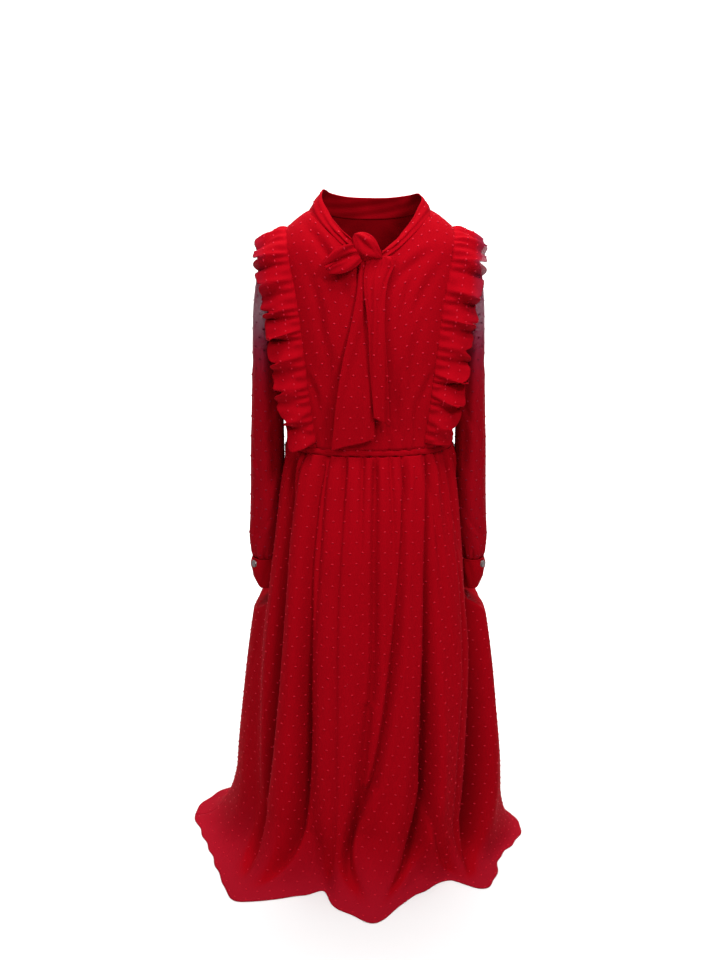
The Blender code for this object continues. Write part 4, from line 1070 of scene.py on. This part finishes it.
def chiffon(name, colour, shade, clear):
    """Crepe chiffon: a pebbled weave, soft sheen, slow changes of colour, a veil where it is single, and
    painted shade where the veil is below nought.
    """
    material, tree, shader = new_material(
        name, Roughness=0.85, Sheen_Weight=0.035, Sheen_Roughness=0.45, Sheen_Tint=(1.0, 0.06, 0.14, 1.0),
        Specular_IOR_Level=0.02)
    uv = add_node(tree, "ShaderNodeUVMap", uv_map="cloth")["UV"]
    place = add_node(tree, "ShaderNodeNewGeometry")["Position"]
    slow = add_node(tree, "ShaderNodeTexNoise", Scale=9.0, Detail=3.0, Vector=place)["Fac"]
    weave = [add_node(tree, "ShaderNodeTexWave", bands_direction=way, Scale=450.0, Distortion=1.5, Detail=1.0,
                      Vector=uv)["Fac"] for way in "XY"]
    cross = add_node(tree, "ShaderNodeMath", *weave, operation="MULTIPLY")[0]
    pebble = add_node(tree, "ShaderNodeTexNoise", Scale=900.0, Detail=2.0, Vector=uv)["Fac"]
    height = add_node(tree, "ShaderNodeMath", cross, pebble, operation="ADD")[0]
    bump = add_node(tree, "ShaderNodeBump", Strength=0.25, Distance=0.0003, Height=height)["Normal"]
    tree.links.new(bump, shader.inputs["Normal"])
    tint = blended(tree, 0.25, blended(tree, slow, colour, shade), cross, blend_type="MULTIPLY")
    veil = add_node(tree, "ShaderNodeAttribute", attribute_name="veil")["Fac"]
    thin = blended(tree, veil, tint, (0.20, 0.035, 0.085))
    # A veil below nought marks a deep fold, where painted shade multiplies the base colour down to 0.48 of it
    deep = add_node(tree, "ShaderNodeMapRange", Value=veil, From_Min=-1.0, From_Max=0.0, To_Min=0.48)
    folded = blended(tree, 1.0, thin, deep["Result"], blend_type="MULTIPLY")
    tree.links.new(folded, shader.inputs["Base Color"])
    fade = add_node(tree, "ShaderNodeMath", veil, clear - 1.0, 1.0, operation="MULTIPLY_ADD")[0]
    tree.links.new(fade, shader.inputs["Alpha"])
    return material


def dot_yarn(name, dark, light, top):
    """The shinier floss of the clipped dots, with another colour above the elbow, which for the sleeves' dots
    is a painted shadow.
    """
    material, tree, shader = new_material(
        name, Roughness=0.5, Specular_IOR_Level=0.05, Sheen_Weight=0.06, Sheen_Roughness=0.3,
        Sheen_Tint=(1.0, 0.20, 0.28, 1.0))
    place = add_node(tree, "ShaderNodeNewGeometry")["Position"]
    noise = add_node(tree, "ShaderNodeTexNoise", Scale=700.0, Detail=2.0, Vector=place)["Fac"]
    height = add_node(tree, "ShaderNodeSeparateXYZ", Vector=place)["Z"]
    # Above the elbow the dots take the top colour; for the sleeves' dots it is a painted shadow
    upper = add_node(tree, "ShaderNodeMapRange", Value=height, From_Min=-0.24, From_Max=-0.16)["Result"]
    colour = blended(tree, upper, blended(tree, noise, dark, light), top)
    tree.links.new(colour, shader.inputs["Base Color"])
    return material


def button_gloss():
    """Smoky grey moulded buttons."""
    material, tree, shader = new_material(
        "button_gloss", Roughness=0.34, Specular_IOR_Level=0.3, Coat_Weight=0.12)
    place = add_node(tree, "ShaderNodeNewGeometry")["Position"]
    swirl = add_node(tree, "ShaderNodeTexNoise", Scale=260.0, Detail=3.0, Distortion=1.2, Vector=place)["Fac"]
    colour = blended(tree, swirl, (0.045, 0.025, 0.026), (0.20, 0.13, 0.13))
    tree.links.new(colour, shader.inputs["Base Color"])
    return material


def studio():
    """A pale floor that curves up behind, soft lights and the camera."""
    half_width, bend_start, bend = 4.0, 1.6, 0.8
    depth = [(-3.0, 0.0), (bend_start, 0.0)]
    for a in np.radians(np.arange(1, 13) * 90 / 12):
        depth.append((bend_start + bend * math.sin(a), bend * (1 - math.cos(a))))
    depth.append((bend_start + bend, 4.0))
    points = [(x, y, FLOOR_Z + z) for y, z in depth for x in (-half_width, half_width)]
    faces = [(2 * i, 2 * i + 1, 2 * i + 3, 2 * i + 2) for i in range(len(depth) - 1)]
    mesh = bpy.data.meshes.new("studio_floor")
    mesh.from_pydata(points, [], faces)
    mesh.shade_smooth()
    floor = add_object("studio_floor", mesh)
    paper, _, _ = new_material("studio_paper", Base_Color=(0.82, 0.82, 0.82, 1), Roughness=0.9)
    floor.data.materials.append(paper)

    scene = bpy.context.scene
    world = bpy.data.worlds.new("studio")
    world.use_nodes = True
    background = world.node_tree.nodes["Background"]
    background.inputs["Color"].default_value = (1, 1, 1, 1)
    background.inputs["Strength"].default_value = 0.12
    scene.world = world
    # Each light's name, place, aim, width and power
    for name, place, aim, size, power in (
            ("key", (0.62, -1.05, 0.66), (0, 0, -0.10), 0.35, 12),
            ("fill", (-1.0, -1.3, 0.7), (0, 0, -0.2), 0.5, 9),
            ("top", (0.05, -0.60, 1.5), (0, 0, -0.3), 0.9, 31),
            ("wall", (0, 0.7, 1.45), (0, 2.3, -0.1), 1.4, 95)):
        light = bpy.data.lights.new(name, "AREA")
        light.size = size
        light.energy = power
        lamp = add_object(name, light)
        lamp.location = place
        x, y, z = np.array(aim) - np.array(place)
        lamp.rotation_euler = (math.atan2(math.hypot(x, y), -z), 0, math.atan2(-x, y))

    camera = add_object("camera", bpy.data.cameras.new("camera"))
    camera.location = (CAMERA["x"], -CAMERA["distance"], FLOOR_Z + CAMERA["height"])
    camera.rotation_euler = (math.radians(90 - CAMERA["pitch"]), 0, 0)
    camera.data.sensor_fit = "VERTICAL"
    camera.data.sensor_height = SENSOR
    camera.data.lens = SENSOR * CAMERA["focal_pixels"] / CAMERA["picture_height"]
    scene.camera = camera
    scene.view_settings.view_transform = "Standard"


def main():
    crepe = chiffon("crepe_cloth", (0.40, 0.0008, 0.0066), (0.32, 0.0005, 0.0046), clear=0.90)
    frill = chiffon("frill_cloth", (0.41, 0.0008, 0.0070), (0.33, 0.0005, 0.0050), clear=0.45)
    sheer = chiffon("sleeve_cloth", (0.38, 0.0007, 0.0062), (0.31, 0.0005, 0.0045), clear=0.42)
    floss = dot_yarn("dot_floss", (0.40, 0.002, 0.010), (0.54, 0.012, 0.028), (0.48, 0.009, 0.026))
    # The sleeves' dots: their nearly black top colour is a painted shadow on the dots above the elbow
    deep_floss = dot_yarn(
        "dot_floss_deep", (0.16, 0.002, 0.010), (0.34, 0.012, 0.030), (0.035, 0.001, 0.006))
    bodice(crepe, floss)
    waistband(crepe)
    skirt(crepe, floss)
    neck_band(crepe, floss)
    bow_knot(crepe, floss)
    bow_loop(crepe, floss)
    tie_end("tie_front", FRONT_TIE, -TIE_SLANT, 0.1, crepe, floss)
    tie_end("tie_back", BACK_TIE, TIE_SLANT * 1.3, 0.45, crepe, floss)
    for (label, side), phase in zip(SIDES, (0.15, 0.59)):
        ruffle("ruffle_" + label, side, phase, frill, floss)
        sleeve("sleeve_" + label, side, sheer, deep_floss)
        cuff("cuff_" + label, side, sheer)
    gloss = button_gloss()
    for label, _ in SIDES:
        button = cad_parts["cuff_button_" + label]
        button.data.materials.clear()
        button.data.materials.append(gloss)
    studio()


main()
